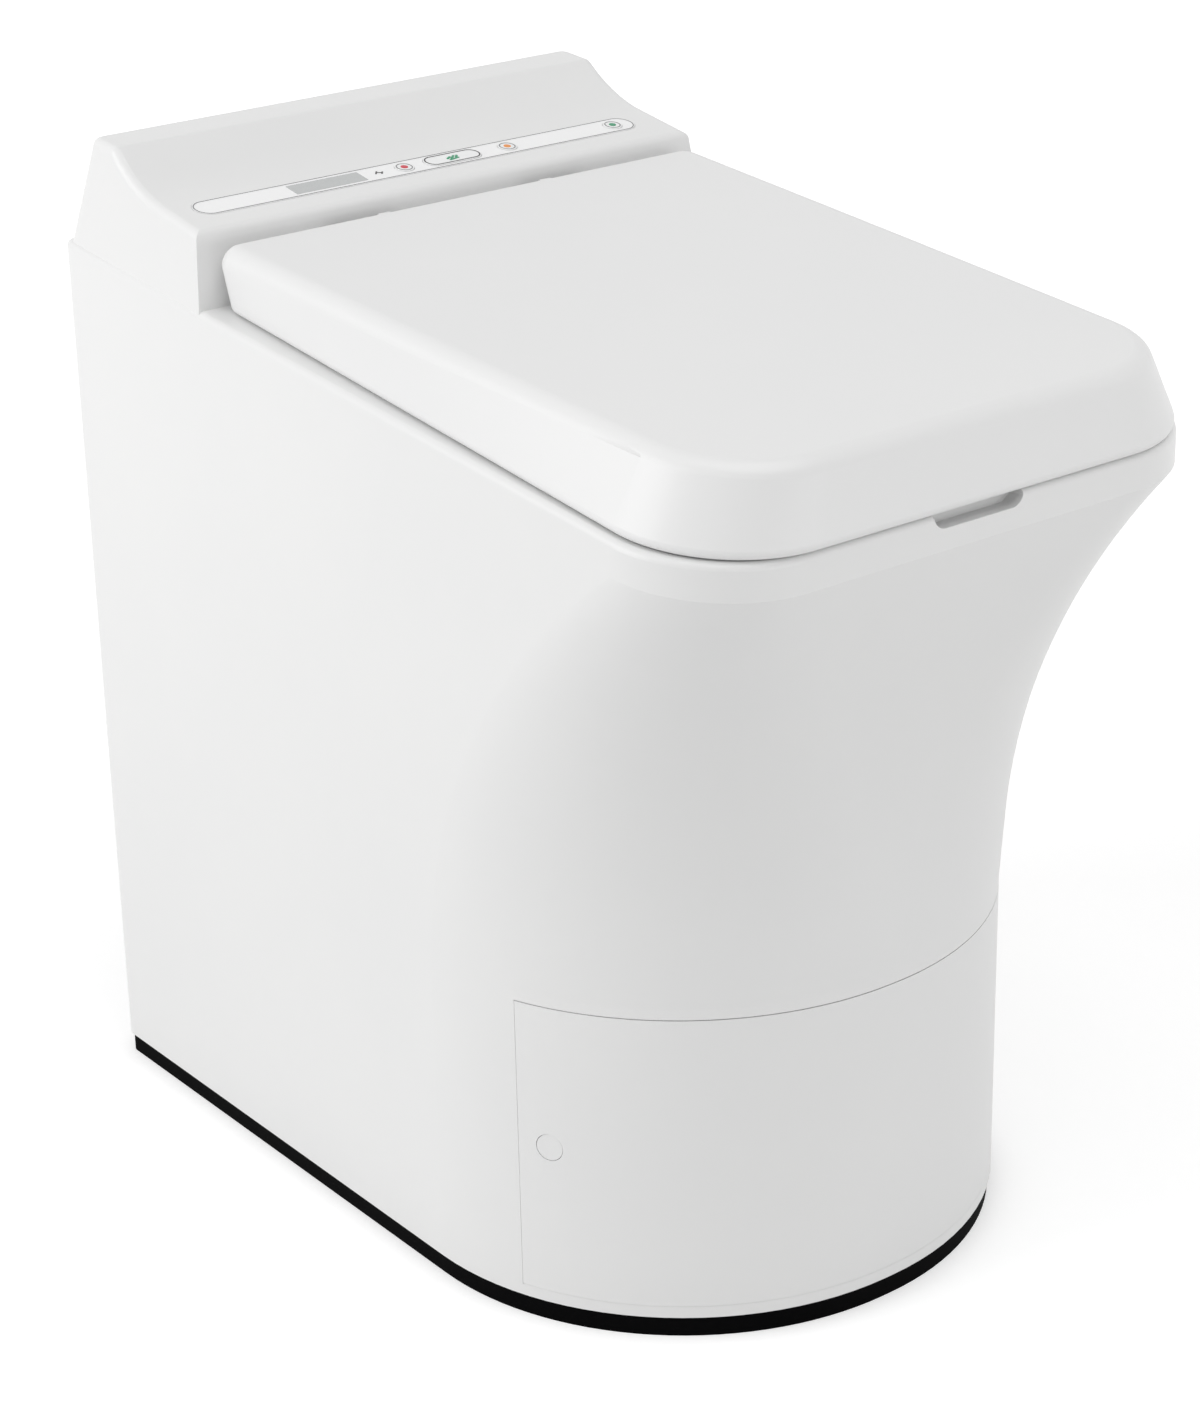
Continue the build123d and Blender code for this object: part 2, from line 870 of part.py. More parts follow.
# Chamber cover and the slotted rails it slides in
cover_low = chamber_top + chamber_sheet + cover_gap
lug_low = cover_low + (cover_thickness - cover_lug_height) / 2
with BuildPart() as chamber_cover:
    with BuildSketch(Plane(origin=(0, bowl_y, cover_low))):
        Circle(cover_radius)
    extrude(amount=cover_thickness)
    chamfer(chamber_cover.edges().filter_by(GeomType.CIRCLE), cover_gap)
    for place in (-cover_lug_y, cover_lug_y):
        middle = bowl_depth + place
        depths = (middle + cover_lug_width / 2, middle - cover_lug_width / 2)
        slab(-cover_lug_reach, cover_lug_reach, *depths, lug_low, lug_low + cover_lug_height)
finish(chamber_cover, "chamber_cover")

with BuildPart() as cover_rails:
    rail_low = chamber_top + chamber_sheet + seat_gap
    slot_low = lug_low - seat_gap
    slot_high = lug_low + cover_lug_height + seat_gap
    for side in (-1, 1):
        ends = sorted((side * rail_inner_x, side * frame_x))
        slot = sorted((side * rail_inner_x, side * (cover_lug_reach + seat_gap)))
        slab(*ends, rail_front_depth, rail_back_depth, rail_low, rail_low + rail_height)
        rail_run = (rail_front_depth + overrun, rail_back_depth - overrun)
        slab(*slot, *rail_run, slot_low, slot_high, Mode.SUBTRACT)
finish(cover_rails, "cover_rails")

# Bowl: an oval rim on the deck, drawn down to a round outlet
def bowl_form(inset):
    """Bowl's funnel with its neck, drawn in by the sheet or not."""
    with BuildPart() as funnel:
        with BuildSketch(deck):
            with Locations((0, -along(bowl_depth))):
                Ellipse(bowl_rim_x - inset, bowl_rim_y - inset)
        with BuildSketch(Plane(origin=(0, bowl_y, neck_height))):
            Circle(neck_radius + bowl_sheet - inset)
        loft()
        with BuildSketch(Plane(origin=(0, bowl_y, outlet_height))):
            Circle(neck_radius + bowl_sheet - inset)
        extrude(amount=neck_height - outlet_height)
    return funnel.part


with BuildPart() as bowl:
    with BuildSketch(deck):
        with Locations((0, -along(bowl_depth))):
            Ellipse(bowl_rim_x + bowl_flange, bowl_rim_y + bowl_flange)
    extrude(amount=bowl_sheet)
    fillet(bowl.faces().sort_by(Axis.Z)[-1].edges(), bowl_sheet / 2)
    with BuildSketch(deck):
        with Locations((0, -along(bowl_depth))):
            Ellipse(bowl_rim_x - bowl_sheet, bowl_rim_y - bowl_sheet)
    extrude(amount=bowl_sheet, mode=Mode.SUBTRACT)
    add(bowl_form(0))
    add(bowl_form(bowl_sheet), mode=Mode.SUBTRACT)
finish(bowl, "bowl")

# Drop duct below the bowl, which carries the flap shafts
with BuildPart() as drop_duct:
    outer_x = duct_half_x + duct_sheet
    outer_y = duct_half_y + duct_sheet
    slab(-outer_x, outer_x, bowl_depth + outer_y, bowl_depth - outer_y, duct_bottom, frame_top)
    plate = (bowl_depth + duct_plate_y, bowl_depth - duct_plate_y)
    slab(-frame_x, frame_x, *plate, frame_top, frame_top + duct_sheet)
    inner_depths = (bowl_depth + duct_half_y, bowl_depth - duct_half_y)
    slab(-duct_half_x, duct_half_x, *inner_depths, duct_bottom, frame_top, Mode.SUBTRACT)
    with BuildSketch(Plane(origin=(0, bowl_y, frame_top))):
        Circle(neck_radius + bowl_sheet + seat_gap)
    extrude(amount=duct_sheet, mode=Mode.SUBTRACT)
    for side in (-1, 1):
        start = (side * flap_axis_x, bowl_y - casing_width / 2, flap_axis_height)
        rod(start, (0, 1, 0), shaft_radius + running_gap, casing_width, Mode.SUBTRACT)
finish(drop_duct, "drop_duct")

# Bowl flaps: dished halves with lugs and hubs on their shafts
dish_radius = (flap_radius**2 + flap_sag**2) / (2 * flap_sag)


def dish(radius):
    """Body below a spherical face of a radius, about the bowl's centre line."""
    with BuildPart() as ball:
        with Locations((0, bowl_y, flap_axis_height + dish_radius - flap_sag)):
            Sphere(radius)
    return ball.part


def flap_shape(side):
    """One dished half with its two lugs and hubs."""
    with BuildPart() as flap:
        with BuildSketch(Plane(origin=(0, bowl_y, flap_axis_height))):
            Circle(flap_radius)
        extrude(amount=-flap_sag - flap_sheet)
        add(dish(dish_radius + flap_sheet), mode=Mode.INTERSECT)
        for place in (-flap_lug_y, flap_lug_y):
            middle = bowl_depth + place
            depths = (middle + flap_lug_width / 2, middle - flap_lug_width / 2)
            ends = sorted((side * flap_radius / 2, side * flap_axis_x))
            slab(*ends, *depths, flap_axis_height - flap_hub_radius, flap_axis_height)
            start = (side * flap_axis_x, y_at(depths[0]), flap_axis_height)
            rod(start, (0, 1, 0), flap_hub_radius, flap_lug_width)
        add(dish(dish_radius), mode=Mode.SUBTRACT)
        split = sorted((-side * casing_width, side * flap_split_gap / 2))
        slab(*split, floor_depth, 0, duct_bottom, frame_top, Mode.SUBTRACT)
        start = (side * flap_axis_x, bowl_y - casing_width / 2, flap_axis_height)
        rod(start, (0, 1, 0), shaft_radius + running_gap, casing_width, Mode.SUBTRACT)
    return flap


finish(flap_shape(-1), "flap_left")
finish(flap_shape(1), "flap_right")

# Flap shafts and their meshing sector gears
for side, name in ((-1, "flap_shaft_left"), (1, "flap_shaft_right")):
    with BuildPart() as flap_shaft:
        front = bowl_depth + duct_half_y + duct_sheet + overrun
        shaft_start = (side * flap_axis_x, y_at(front), flap_axis_height)
        rod(shaft_start, (0, 1, 0), shaft_radius, front - shaft_back_depth)
    finish(flap_shaft, name)

pitch_radius = gear_module * gear_teeth / 2
tip_radius = pitch_radius + gear_module
root_radius = pitch_radius - gear_module * root_share
pressure = math.radians(pressure_angle)
tooth_step = math.tau / gear_teeth


def involute(angle):
    """Involute function of an angle."""
    return math.tan(angle) - angle


def tooth_half_angle(radius):
    """Half the angle a tooth takes at a radius."""
    at_pitch = (math.pi * gear_module / 2 - gear_backlash) / (2 * pitch_radius)
    turn = math.acos(pitch_radius * math.cos(pressure) / radius)
    return at_pitch + involute(pressure) - involute(turn)


def sector_gear(side, shift):
    """Sector gear on one flap shaft, its teeth reaching the other gear at the middle."""
    outline = [(0, 0)]
    steps = [root_radius + (tip_radius - root_radius) * share for share in flank_shares]
    for tooth in range(gear_sector_teeth):
        centre = (tooth + shift - gear_teeth_inside) * tooth_step
        flank = [(radius, -tooth_half_angle(radius)) for radius in steps]
        flank += [(radius, tooth_half_angle(radius)) for radius in reversed(steps)]
        for radius, turn in flank:
            outline.append((-side * radius * math.cos(centre + turn), -radius * math.sin(centre + turn)))
    with BuildPart() as gear:
        gear_middle = (side * flap_axis_x, y_at(gear_depth), flap_axis_height)
        with BuildSketch(Plane(origin=gear_middle, x_dir=(1, 0, 0), z_dir=(0, -1, 0))):
            with BuildLine():
                Polyline(*outline, close=True)
            make_face()
            Circle(gear_hub_radius)
            Circle(shaft_radius, mode=Mode.SUBTRACT)
        extrude(amount=gear_thickness)
    return gear


finish(sector_gear(-1, 0), "sector_gear_left")
finish(sector_gear(1, tooth_offset_share), "sector_gear_right")

# Plate behind the gears, on the side frames' top, and the motor on it
gear_plate_depth = gear_depth - gear_plate_gap
with BuildPart() as gear_plate:
    slab(-frame_x, frame_x, gear_plate_depth, gear_plate_depth - gear_plate_sheet, frame_top, gear_plate_top)
    plate_back = gear_plate_depth - frame_flange
    slab(-frame_x, frame_x, gear_plate_depth, plate_back, frame_top, frame_top + gear_plate_sheet)
    hanger = flap_axis_x + gear_hub_radius
    foot = flap_axis_height - gear_hub_radius
    slab(-hanger, hanger, gear_plate_depth, gear_plate_depth - gear_plate_sheet, foot, gear_plate_top)
    for side in (-1, 1):
        start = (side * flap_axis_x, y_at(gear_depth), flap_axis_height)
        rod(start, (0, 1, 0), shaft_radius + running_gap, frame_flange + gear_depth, Mode.SUBTRACT)
    motor_seat = (flap_axis_x, y_at(gear_plate_depth - gear_plate_sheet), flap_axis_height)
    with BuildSketch(Plane(origin=motor_seat, z_dir=(0, 1, 0))):
        Rectangle(motor_box + 2 * fit_gap, motor_box + 2 * fit_gap)
    extrude(amount=frame_flange, mode=Mode.SUBTRACT)
finish(gear_plate, "gear_plate")

with BuildPart() as flap_motor:
    front = gear_plate_depth - gear_plate_sheet
    sides = (flap_axis_x - motor_box / 2, flap_axis_x + motor_box / 2)
    low = flap_axis_height - motor_box / 2
    slab(*sides, front, front - motor_box_length, low, low + motor_box)
    fillet(flap_motor.edges().filter_by(Axis.Y), gear_plate_sheet)
    start = (flap_axis_x, y_at(front - motor_box_length), flap_axis_height)
    rod(start, (0, 1, 0), motor_can_radius, motor_can_length)
    start = (flap_axis_x, y_at(front), flap_axis_height)
    rod(start, (0, 1, 0), shaft_radius + running_gap, front - shaft_back_depth + fit_gap, Mode.SUBTRACT)
finish(flap_motor, "flap_motor")

# Exhaust: catalyst housing behind the chamber, its core, and the spigot
def tube_line(profile):
    """Body of revolution about the exhaust's level line, from depth and radius pairs."""
    with BuildSketch(Plane.YZ) as half:
        with BuildLine():
            Polyline(*[(y_at(depth), flue_height + radius) for depth, radius in profile], close=True)
        make_face()
    revolve(half.sketch, axis=Axis((0, 0, flue_height), (0, 1, 0)))


catalyst_front = bowl_depth - jacket_radius - cone_length / 2
barrel_front = catalyst_front - cone_length
barrel_back = barrel_front - catalyst_length
pipe_front = barrel_back - cone_length
pipe_back = spigot_front_depth - cone_length
skin = catalyst_sheet
with BuildPart() as catalyst_housing:
    tube_line(
        [
            (catalyst_front, flue_radius),
            (barrel_front, catalyst_radius),
            (barrel_back, catalyst_radius),
            (pipe_front, flue_radius),
            (pipe_back, flue_radius),
            (pipe_back, flue_radius - skin),
            (pipe_front, flue_radius - skin),
            (barrel_back, catalyst_radius - skin),
            (barrel_front, catalyst_radius - skin),
            (catalyst_front, flue_radius - skin),
        ]
    )
finish(catalyst_housing, "catalyst_housing")

with BuildPart() as catalyst_core:
    core_radius = catalyst_radius - skin - seat_gap
    with BuildSketch(Plane(origin=(0, y_at(barrel_front - skin), flue_height), z_dir=(0, 1, 0))):
        Circle(core_radius)
        with HexLocations(core_cell_radius * core_pitch_share, core_cells, core_cells):
            RegularPolygon(core_cell_radius, 6, mode=Mode.SUBTRACT)
    extrude(amount=catalyst_length - 2 * skin)
finish(catalyst_core, "catalyst_core")

spigot_inner = spigot_radius - spigot_wall
spigot_neck = spigot_radius - spigot_neck_cut
with BuildPart() as exhaust_spigot:
    flange_face = panel_sheet + seat_gap
    tube_line(
        [
            (spigot_front_depth, flue_radius + seat_gap),
            (spigot_front_depth, spigot_neck),
            (flange_face + spigot_wall, spigot_neck),
            (flange_face + spigot_wall, spigot_flange),
            (flange_face, spigot_flange),
            (flange_face, spigot_neck),
            (-spigot_neck_out, spigot_neck),
            (-spigot_neck_out, spigot_radius),
            (-spigot_out, spigot_radius),
            (-spigot_out, spigot_inner),
            (spigot_front_depth - spigot_wall, spigot_inner),
            (spigot_front_depth - spigot_wall, flue_radius + seat_gap),
        ]
    )
    start = (0, y_at(fan_outlet_depth), fan_height)
    rod(start, (0, 0, 1), fan_tube_radius + seat_gap, flue_height - fan_height, Mode.SUBTRACT)
finish(exhaust_spigot, "exhaust_spigot")

# Fan: scroll housing with an outlet tube up into the spigot, impeller and motor
fan_centre = (-fan_half_width, y_at(fan_depth), fan_height)
fan_inner = fan_half_width - fan_sheet
with BuildPart() as fan_housing:
    rod(fan_centre, (1, 0, 0), fan_radius, 2 * fan_half_width)
    start = (0, y_at(fan_outlet_depth), fan_height)
    rod(start, (0, 0, 1), fan_tube_radius, fan_tube_height - fan_height)
    fan_foot = (fan_depth + fan_foot_depth / 2, fan_depth - fan_foot_depth / 2)
    slab(-fan_half_width, fan_half_width, *fan_foot, tray_floor, fan_height - fan_radius / 2)
    drum_start = (-fan_inner, y_at(fan_depth), fan_height)
    rod(drum_start, (1, 0, 0), fan_radius - fan_sheet, 2 * fan_inner, Mode.SUBTRACT)
    rod(start, (0, 0, 1), fan_tube_radius - fan_sheet, casing_width, Mode.SUBTRACT)
    fan_middle = (0, y_at(fan_depth), fan_height)
    rod(fan_middle, (1, 0, 0), fan_eye, casing_width, Mode.SUBTRACT)
    rod(fan_middle, (-1, 0, 0), fan_shaft_radius + seat_gap, casing_width, Mode.SUBTRACT)
finish(fan_housing, "fan_housing")

with BuildPart() as fan_impeller:
    wheel = Plane(origin=(-impeller_half_width, y_at(fan_depth), fan_height), z_dir=(1, 0, 0))
    disc(wheel, 0, fan_sheet, impeller_radius)
    disc(wheel, 0, impeller_half_width, impeller_hub)
    with BuildSketch(wheel):
        blade = (impeller_radius - impeller_hub) / 2
        with PolarLocations(impeller_radius - blade / 2, impeller_blades, rotate=True):
            Rectangle(blade, blade_thickness, rotation=blade_angle)
        Circle(impeller_radius, mode=Mode.INTERSECT)
    extrude(amount=2 * impeller_half_width)
    with BuildSketch(wheel.offset(2 * impeller_half_width - fan_sheet)):
        Circle(impeller_radius)
        Circle(impeller_radius - blade, mode=Mode.SUBTRACT)
    extrude(amount=fan_sheet)
    disc(wheel, fan_sheet, -fan_shaft_length, fan_shaft_radius)
finish(fan_impeller, "fan_impeller")

with BuildPart() as fan_motor:
    rod(fan_centre, (-1, 0, 0), fan_motor_radius, fan_motor_length)
    fillet(fan_motor.edges().sort_by(Axis.X)[0], fan_shaft_radius)
    rod(fan_centre, (-1, 0, 0), fan_shaft_radius + running_gap, fan_shaft_length, Mode.SUBTRACT)
finish(fan_motor, "fan_motor")

# Rear panel with louvres, its screws, and the mains inlet
inlet_hole = (inlet_width + 2 * fit_gap, inlet_tall + 2 * fit_gap)
with BuildPart() as rear_panel:
    with BuildSketch(rear_face):
        with Locations((0, panel_middle)):
            RectangleRounded(2 * panel_half_width, panel_length, panel_corner)
        with Locations(screw_places):
            Circle(screw_radius + running_gap, mode=Mode.SUBTRACT)
        with Locations((0, flue_height)):
            Circle(spigot_radius + seat_gap, mode=Mode.SUBTRACT)
        with Locations((inlet_x, inlet_height)):
            Rectangle(*inlet_hole, mode=Mode.SUBTRACT)
        with Locations([(louvre_x, louvre_base + row * louvre_pitch) for row in range(louvre_count)]):
            SlotOverall(louvre_length, louvre_width, mode=Mode.SUBTRACT)
    extrude(amount=panel_sheet)
finish(rear_panel, "rear_panel")

with BuildPart() as panel_screws:
    with BuildSketch(rear_face):
        with Locations(screw_places):
            Circle(screw_head_radius)
    extrude(amount=-screw_head)
    chamfer(panel_screws.faces().filter_by(Axis.Y).group_by(Axis.Y)[-1].edges(), screw_head / 3)
    with BuildSketch(rear_face):
        with Locations(screw_places):
            Circle(screw_radius)
    extrude(amount=screw_length)
finish(panel_screws, "panel_screws")

with BuildPart() as mains_inlet:
    with BuildSketch(rear_face):
        with Locations((inlet_x, inlet_height)):
            RectangleRounded(inlet_width + 4 * inlet_flange, inlet_tall + 2 * inlet_flange, inlet_flange)
    extrude(amount=-inlet_flange)
    with BuildSketch(rear_face):
        with Locations((inlet_x, inlet_height)):
            Rectangle(inlet_width, inlet_tall)
    extrude(amount=inlet_length)
    with BuildSketch(rear_face.offset(-inlet_flange)):
        with Locations((inlet_x, inlet_height)):
            RectangleRounded(inlet_width - inlet_flange, inlet_tall - inlet_flange, inlet_flange / 2)
            with Locations([(step * inlet_pin_step, abs(step) * inlet_pin_drop) for step in (-1, 0, 1)]):
                Rectangle(inlet_pin_width, inlet_pin_tall, mode=Mode.SUBTRACT)
    extrude(amount=inlet_length - inlet_flange, mode=Mode.SUBTRACT)
finish(mains_inlet, "mains_inlet")

# Control strip with its display window
with BuildPart() as control_strip:
    with BuildSketch(panel.offset(-strip_pocket)):
        with Locations((strip_x, 0)):
            SlotOverall(strip_length, strip_width)
    extrude(amount=strip_thickness)
    with BuildSketch(panel.offset(-strip_pocket)):
        key_outlines(seat_gap)
        with Locations((display_x, 0)):
            window_size = (display_length + 2 * running_gap, display_width + 2 * running_gap)
            RectangleRounded(*window_size, strip_thickness)
    extrude(amount=strip_thickness, mode=Mode.SUBTRACT)
finish(control_strip, "control_strip")

with BuildPart() as display_window:
    with BuildSketch(panel.offset(-strip_pocket)):
        with Locations((display_x, 0)):
            RectangleRounded(display_length, display_width, strip_thickness)
    extrude(amount=strip_thickness)
finish(display_window, "display_window")

# Keys: a cap through the strip, a flange behind the wall and a nose over a dome
cap_top = strip_thickness - strip_pocket + key_proud
flange_top = -wall - fit_gap
nose_foot = -board_drop + dome_height + key_travel + running_gap


def key_shape(x, outline):
    """One key at an X, from a function that draws its outline grown by a gap."""
    with BuildPart() as key:
        for start, stop, gap in (
            (flange_top, cap_top, 0),
            (flange_top - key_flange_thickness, flange_top, key_flange),
            (nose_foot, flange_top - key_flange_thickness, -key_radius / 2),
        ):
            with BuildSketch(panel.offset(start)) as level_sketch:
                with Locations((x, 0)):
                    outline(gap)
            extrude(level_sketch.sketch, amount=stop - start)
        top = key.faces().sort_by(Axis.Z)[-1].edges()
        fillet(top, key_proud / 2)
    return key


for name, x in round_keys.items():
    finish(key_shape(x, lambda gap: Circle(key_radius + gap)), name)
flush_cap = key_shape(flush_x, lambda gap: SlotOverall(flush_length + 2 * gap, flush_width + 2 * gap))
finish(flush_cap, "flush_key")

with BuildPart() as control_board:
    with BuildSketch(panel.offset(-board_drop - board_sheet)):
        with Locations((strip_x, 0)):
            Rectangle(board_length, board_width)
    extrude(amount=board_sheet)
    with BuildSketch(panel.offset(-board_drop)):
        for x in (flush_x, *round_keys.values()):
            with Locations((x, 0)):
                Circle(key_radius / 2)
    extrude(amount=dome_height)
finish(control_board, "control_board")

# Power box on the right side frame, and the lid switch under the deck
with BuildPart() as power_box:
    depths = (power_depth + power_length / 2, power_depth - power_length / 2)
    slab(frame_x - power_width, frame_x, *depths, power_low, power_low + power_height)
    fillet(power_box.edges().filter_by(Axis.Y).group_by(Axis.X)[0], back_corner / 2)
finish(power_box, "power_box")

with BuildPart() as lid_switch:
    with BuildSketch(sloping(deck_height(0) - wall, deck_angle)):
        with Locations((switch_x, -along(switch_depth))):
            Rectangle(switch_width, switch_length)
    extrude(amount=-switch_height)
finish(lid_switch, "lid_switch")

# Lid: a deep hollow cover, wider at the front, its top falling to the front
lid_back_top = deck_height(lid_back_depth) + lid_back_height
lid_front_top = deck_height(lid_reach) + lid_front_height
lid_angle = math.atan((lid_back_top - lid_front_top) / (lid_reach - lid_back_depth))
lid_level = lid_back_top + lid_back_depth * math.tan(lid_angle)
axis_height = lid_back_top - axis_below_lid_top
axis_y = y_at(axis_depth)


def lid_outline(angle, inset, back_depth, back_width, front_width):
    """Outline with the lid's corners in the current sketch, on a plane of a given fall."""
    front = -(lid_reach - inset) / math.cos(angle)
    back = -back_depth / math.cos(angle)
    back_half = back_width / 2 - inset
    front_half = front_width / 2 - inset
    Polygon((-back_half, back), (back_half, back), (front_half, front), (-front_half, front), align=None)
    fillet(vertices().group_by(Axis.Y)[0], lid_front_corner - inset)
    fillet(vertices().group_by(Axis.Y)[-1], lid_back_corner - inset / 2)


def lid_form(low_inset, skin):
    """Lid's body from its lower outline up to its upper one, drawn in and lowered by a skin."""
    upper_widths = (lid_top_back_width + 2 * lid_draft, lid_top_front_width + 2 * lid_draft)
    with BuildPart() as form:
        with BuildSketch(sloping(deck_height(0) + lid_gap, deck_angle)):
            lid_outline(deck_angle, low_inset, lid_back_depth + skin, lid_back_width, lid_front_width)
        with BuildSketch(sloping(lid_level - skin, lid_angle)):
            lid_outline(lid_angle, lid_draft + skin, lid_back_depth + skin - console_lean, *upper_widths)
        loft()
    return form.part


with BuildPart() as heel_cut:
    slab(-casing_width, casing_width, axis_depth, 0, deck_back_height - wall, axis_height)
    rod((-casing_width, axis_y, axis_height), (1, 0, 0), heel_radius, 2 * casing_width, Mode.SUBTRACT)

with BuildPart() as lid_inner:
    add(lid_form(lid_lip, lid_wall))
    chamfer(lid_inner.faces().sort_by(Axis.Z)[-1].edges(), (lid_top_round - lid_wall) * lid_chamfer_share)

with BuildPart() as lid:
    add(lid_form(0, 0))
    fillet(lid.faces().sort_by(Axis.Z)[-1].edges(), lid_top_round)
    lower = lid.faces().sort_by(Axis.Z)[0].edges()
    fillet(lower.filter_by(lambda e: e.center().Y < axis_y), lid_lip_round)
    add(lid_inner.part, mode=Mode.SUBTRACT)
    # Notches in the back wall for the posts and the seat's arms, then the ears beside the posts
    for side in (-1, 1):
        notch = sorted((side * notch_inner, side * notch_outer))
        heights = (deck_back_height - wall, axis_height + notch_rise)
        slab(*notch, lid_back_depth + 2 * lid_wall, 0, *heights, Mode.SUBTRACT)
        ends = sorted((side * (hinge_x - ear_start), side * (hinge_x - ear_start - ear_thickness)))
        depths = (axis_depth + ear_radius, axis_depth - ear_radius)
        slab(*ends, *depths, axis_height, axis_height + axis_below_lid_top - lid_wall / 2)
        rod((ends[0], axis_y, axis_height), (1, 0, 0), ear_radius, ear_thickness)
        bore = (pin_radius + running_gap, ear_thickness)
        rod((ends[0], axis_y, axis_height), (1, 0, 0), *bore, Mode.SUBTRACT)
    # Heel of the back wall, rounded about the hinge's axis
    add(heel_cut.part, mode=Mode.SUBTRACT)
finish(lid, "lid")

# Hinge posts on the deck, and their pins
with BuildPart() as hinge_posts:
    for side in (-1, 1):
        ends = sorted((side * hinge_x - post_thickness / 2, side * hinge_x + post_thickness / 2))
        post = (axis_depth + post_front, axis_depth - post_back)
        slab(*ends, *post, deck_back_height - console_foot_drop, axis_height)
        rod((ends[0], axis_y, axis_height), (1, 0, 0), post_radius, post_thickness)
    rod((-casing_width, axis_y, axis_height), (1, 0, 0), pin_radius, 2 * casing_width, Mode.SUBTRACT)
    with BuildSketch(deck):
        Rectangle(2 * casing_width, 2 * floor_depth)
    extrude(amount=-casing_width, mode=Mode.SUBTRACT)
finish(hinge_posts, "hinge_posts")

pin_length = 2 * (ear_start + ear_thickness)
with BuildPart() as hinge_pins:
    for side in (-1, 1):
        rod((side * hinge_x - pin_length / 2, axis_y, axis_height), (1, 0, 0), pin_radius, pin_length)
finish(hinge_pins, "hinge_pins")

# Seat: a ring on four bumpers, hung on arms beside the posts
seat_low = sloping(deck_height(0) + bumper_height, deck_angle)
seat_inset = lid_lip + seat_margin
with BuildPart() as seat:
    with BuildSketch(seat_low):
        seat_front_width = lid_front_width - 2 * seat_taper
        lid_outline(deck_angle, seat_inset, seat_back_depth, lid_back_width, seat_front_width)
    extrude(amount=seat_thickness, dir=(0, 0, 1))
    with BuildSketch(seat_low):
        with Locations((0, -along(bowl_depth))):
            Ellipse(seat_hole_x, seat_hole_y)
    extrude(amount=seat_thickness, dir=(0, 0, 1), mode=Mode.SUBTRACT)
    fillet(seat.faces().sort_by(Axis.Z)[-1].edges(), seat_round)
    seat_middle = deck_height(seat_back_depth + ear_radius) + bumper_height + seat_thickness / 2
    reach = (0, axis_y - y_at(seat_back_depth + ear_radius), axis_height - seat_middle)
    span = math.hypot(*reach)
    for side in (-1, 1):
        start = min(side * (hinge_x + ear_start), side * (hinge_x + ear_start + ear_thickness))
        middle = (start, (axis_y + y_at(seat_back_depth + ear_radius)) / 2, (axis_height + seat_middle) / 2)
        with BuildSketch(Plane(origin=middle, x_dir=reach, z_dir=(1, 0, 0))):
            SlotCenterToCenter(span, 2 * ear_radius)
        extrude(amount=ear_thickness)
    with BuildSketch(seat_low):
        with Locations((0, -along(bowl_depth))):
            Ellipse(seat_hole_x, seat_hole_y)
    extrude(amount=seat_thickness, dir=(0, 0, 1), mode=Mode.SUBTRACT)
    bore = (pin_radius + running_gap, 2 * casing_width)
    rod((-casing_width, axis_y, axis_height), (1, 0, 0), *bore, Mode.SUBTRACT)
finish(seat, "seat")


def pads(xs, depths, radius, low, high):
    """Upright pads between two heights above the deck's slope."""
    with BuildPart() as group:
        with BuildSketch(sloping(deck_height(0) + low, deck_angle)):
            with Locations([(side * x, -along(depth)) for side in (-1, 1) for x, depth in zip(xs, depths)]):
                Circle(radius)
        extrude(amount=high - low, dir=(0, 0, 1))
    return group


finish(pads(bumper_xs, bumper_depths, bumper_radius, fit_gap, bumper_height), "seat_bumpers")

seat_top = bumper_height + seat_thickness
with BuildPart() as lid_bumpers:
    add(pads(bumper_xs, bumper_depths, bumper_radius, seat_top + fit_gap, lid_front_height).part)
    add(lid_inner, mode=Mode.INTERSECT)
finish(lid_bumpers, "lid_bumpers")
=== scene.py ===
"""Looks of the incinerating toilet: finishes for its solids, small fittings, floor, lamps and camera."""

import logging
import math
from dataclasses import dataclass
from enum import Enum
from typing import Callable, Optional

import bmesh
import bpy
from mathutils import Matrix, Vector


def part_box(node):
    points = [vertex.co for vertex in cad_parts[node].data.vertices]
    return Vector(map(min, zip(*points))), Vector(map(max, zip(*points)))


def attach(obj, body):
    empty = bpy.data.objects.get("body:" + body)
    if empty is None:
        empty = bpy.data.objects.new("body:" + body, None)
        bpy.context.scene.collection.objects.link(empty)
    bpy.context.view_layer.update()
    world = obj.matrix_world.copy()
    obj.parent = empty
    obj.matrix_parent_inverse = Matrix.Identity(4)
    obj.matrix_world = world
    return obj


log = logging.getLogger("toilet")

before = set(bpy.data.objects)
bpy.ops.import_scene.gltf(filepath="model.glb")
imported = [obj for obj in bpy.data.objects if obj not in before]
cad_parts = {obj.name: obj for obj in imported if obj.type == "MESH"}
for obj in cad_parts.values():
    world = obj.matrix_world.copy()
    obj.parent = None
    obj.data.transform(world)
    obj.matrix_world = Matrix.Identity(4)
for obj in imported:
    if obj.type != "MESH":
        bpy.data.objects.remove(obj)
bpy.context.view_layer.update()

Colour = tuple[float, float, float]
Point = tuple[float, float, float]
Node = bpy.types.Node
Socket = bpy.types.NodeSocket
Surface = tuple[Socket, Socket, Socket]

# The colour sockets of the mix node, which share their names with its other kinds.
MIX_LOW, MIX_HIGH, MIX_RESULT = 6, 7, 2
WHITE = (1.0, 1.0, 1.0, 1.0)
BLACK = (0.0, 0.0, 0.0, 1.0)

# Points this close become one, and heights or places this close count as the same, in metres.
MERGE = 1e-7
LEVEL = 1e-6
NEAR = 1e-5
# A face looks along an axis when this much of its unit normal does.
FACING = 0.9
# Edges sharper than this are bevelled and shaded sharp.
SHARP = math.radians(40)
BEVEL_SEGMENTS = 2


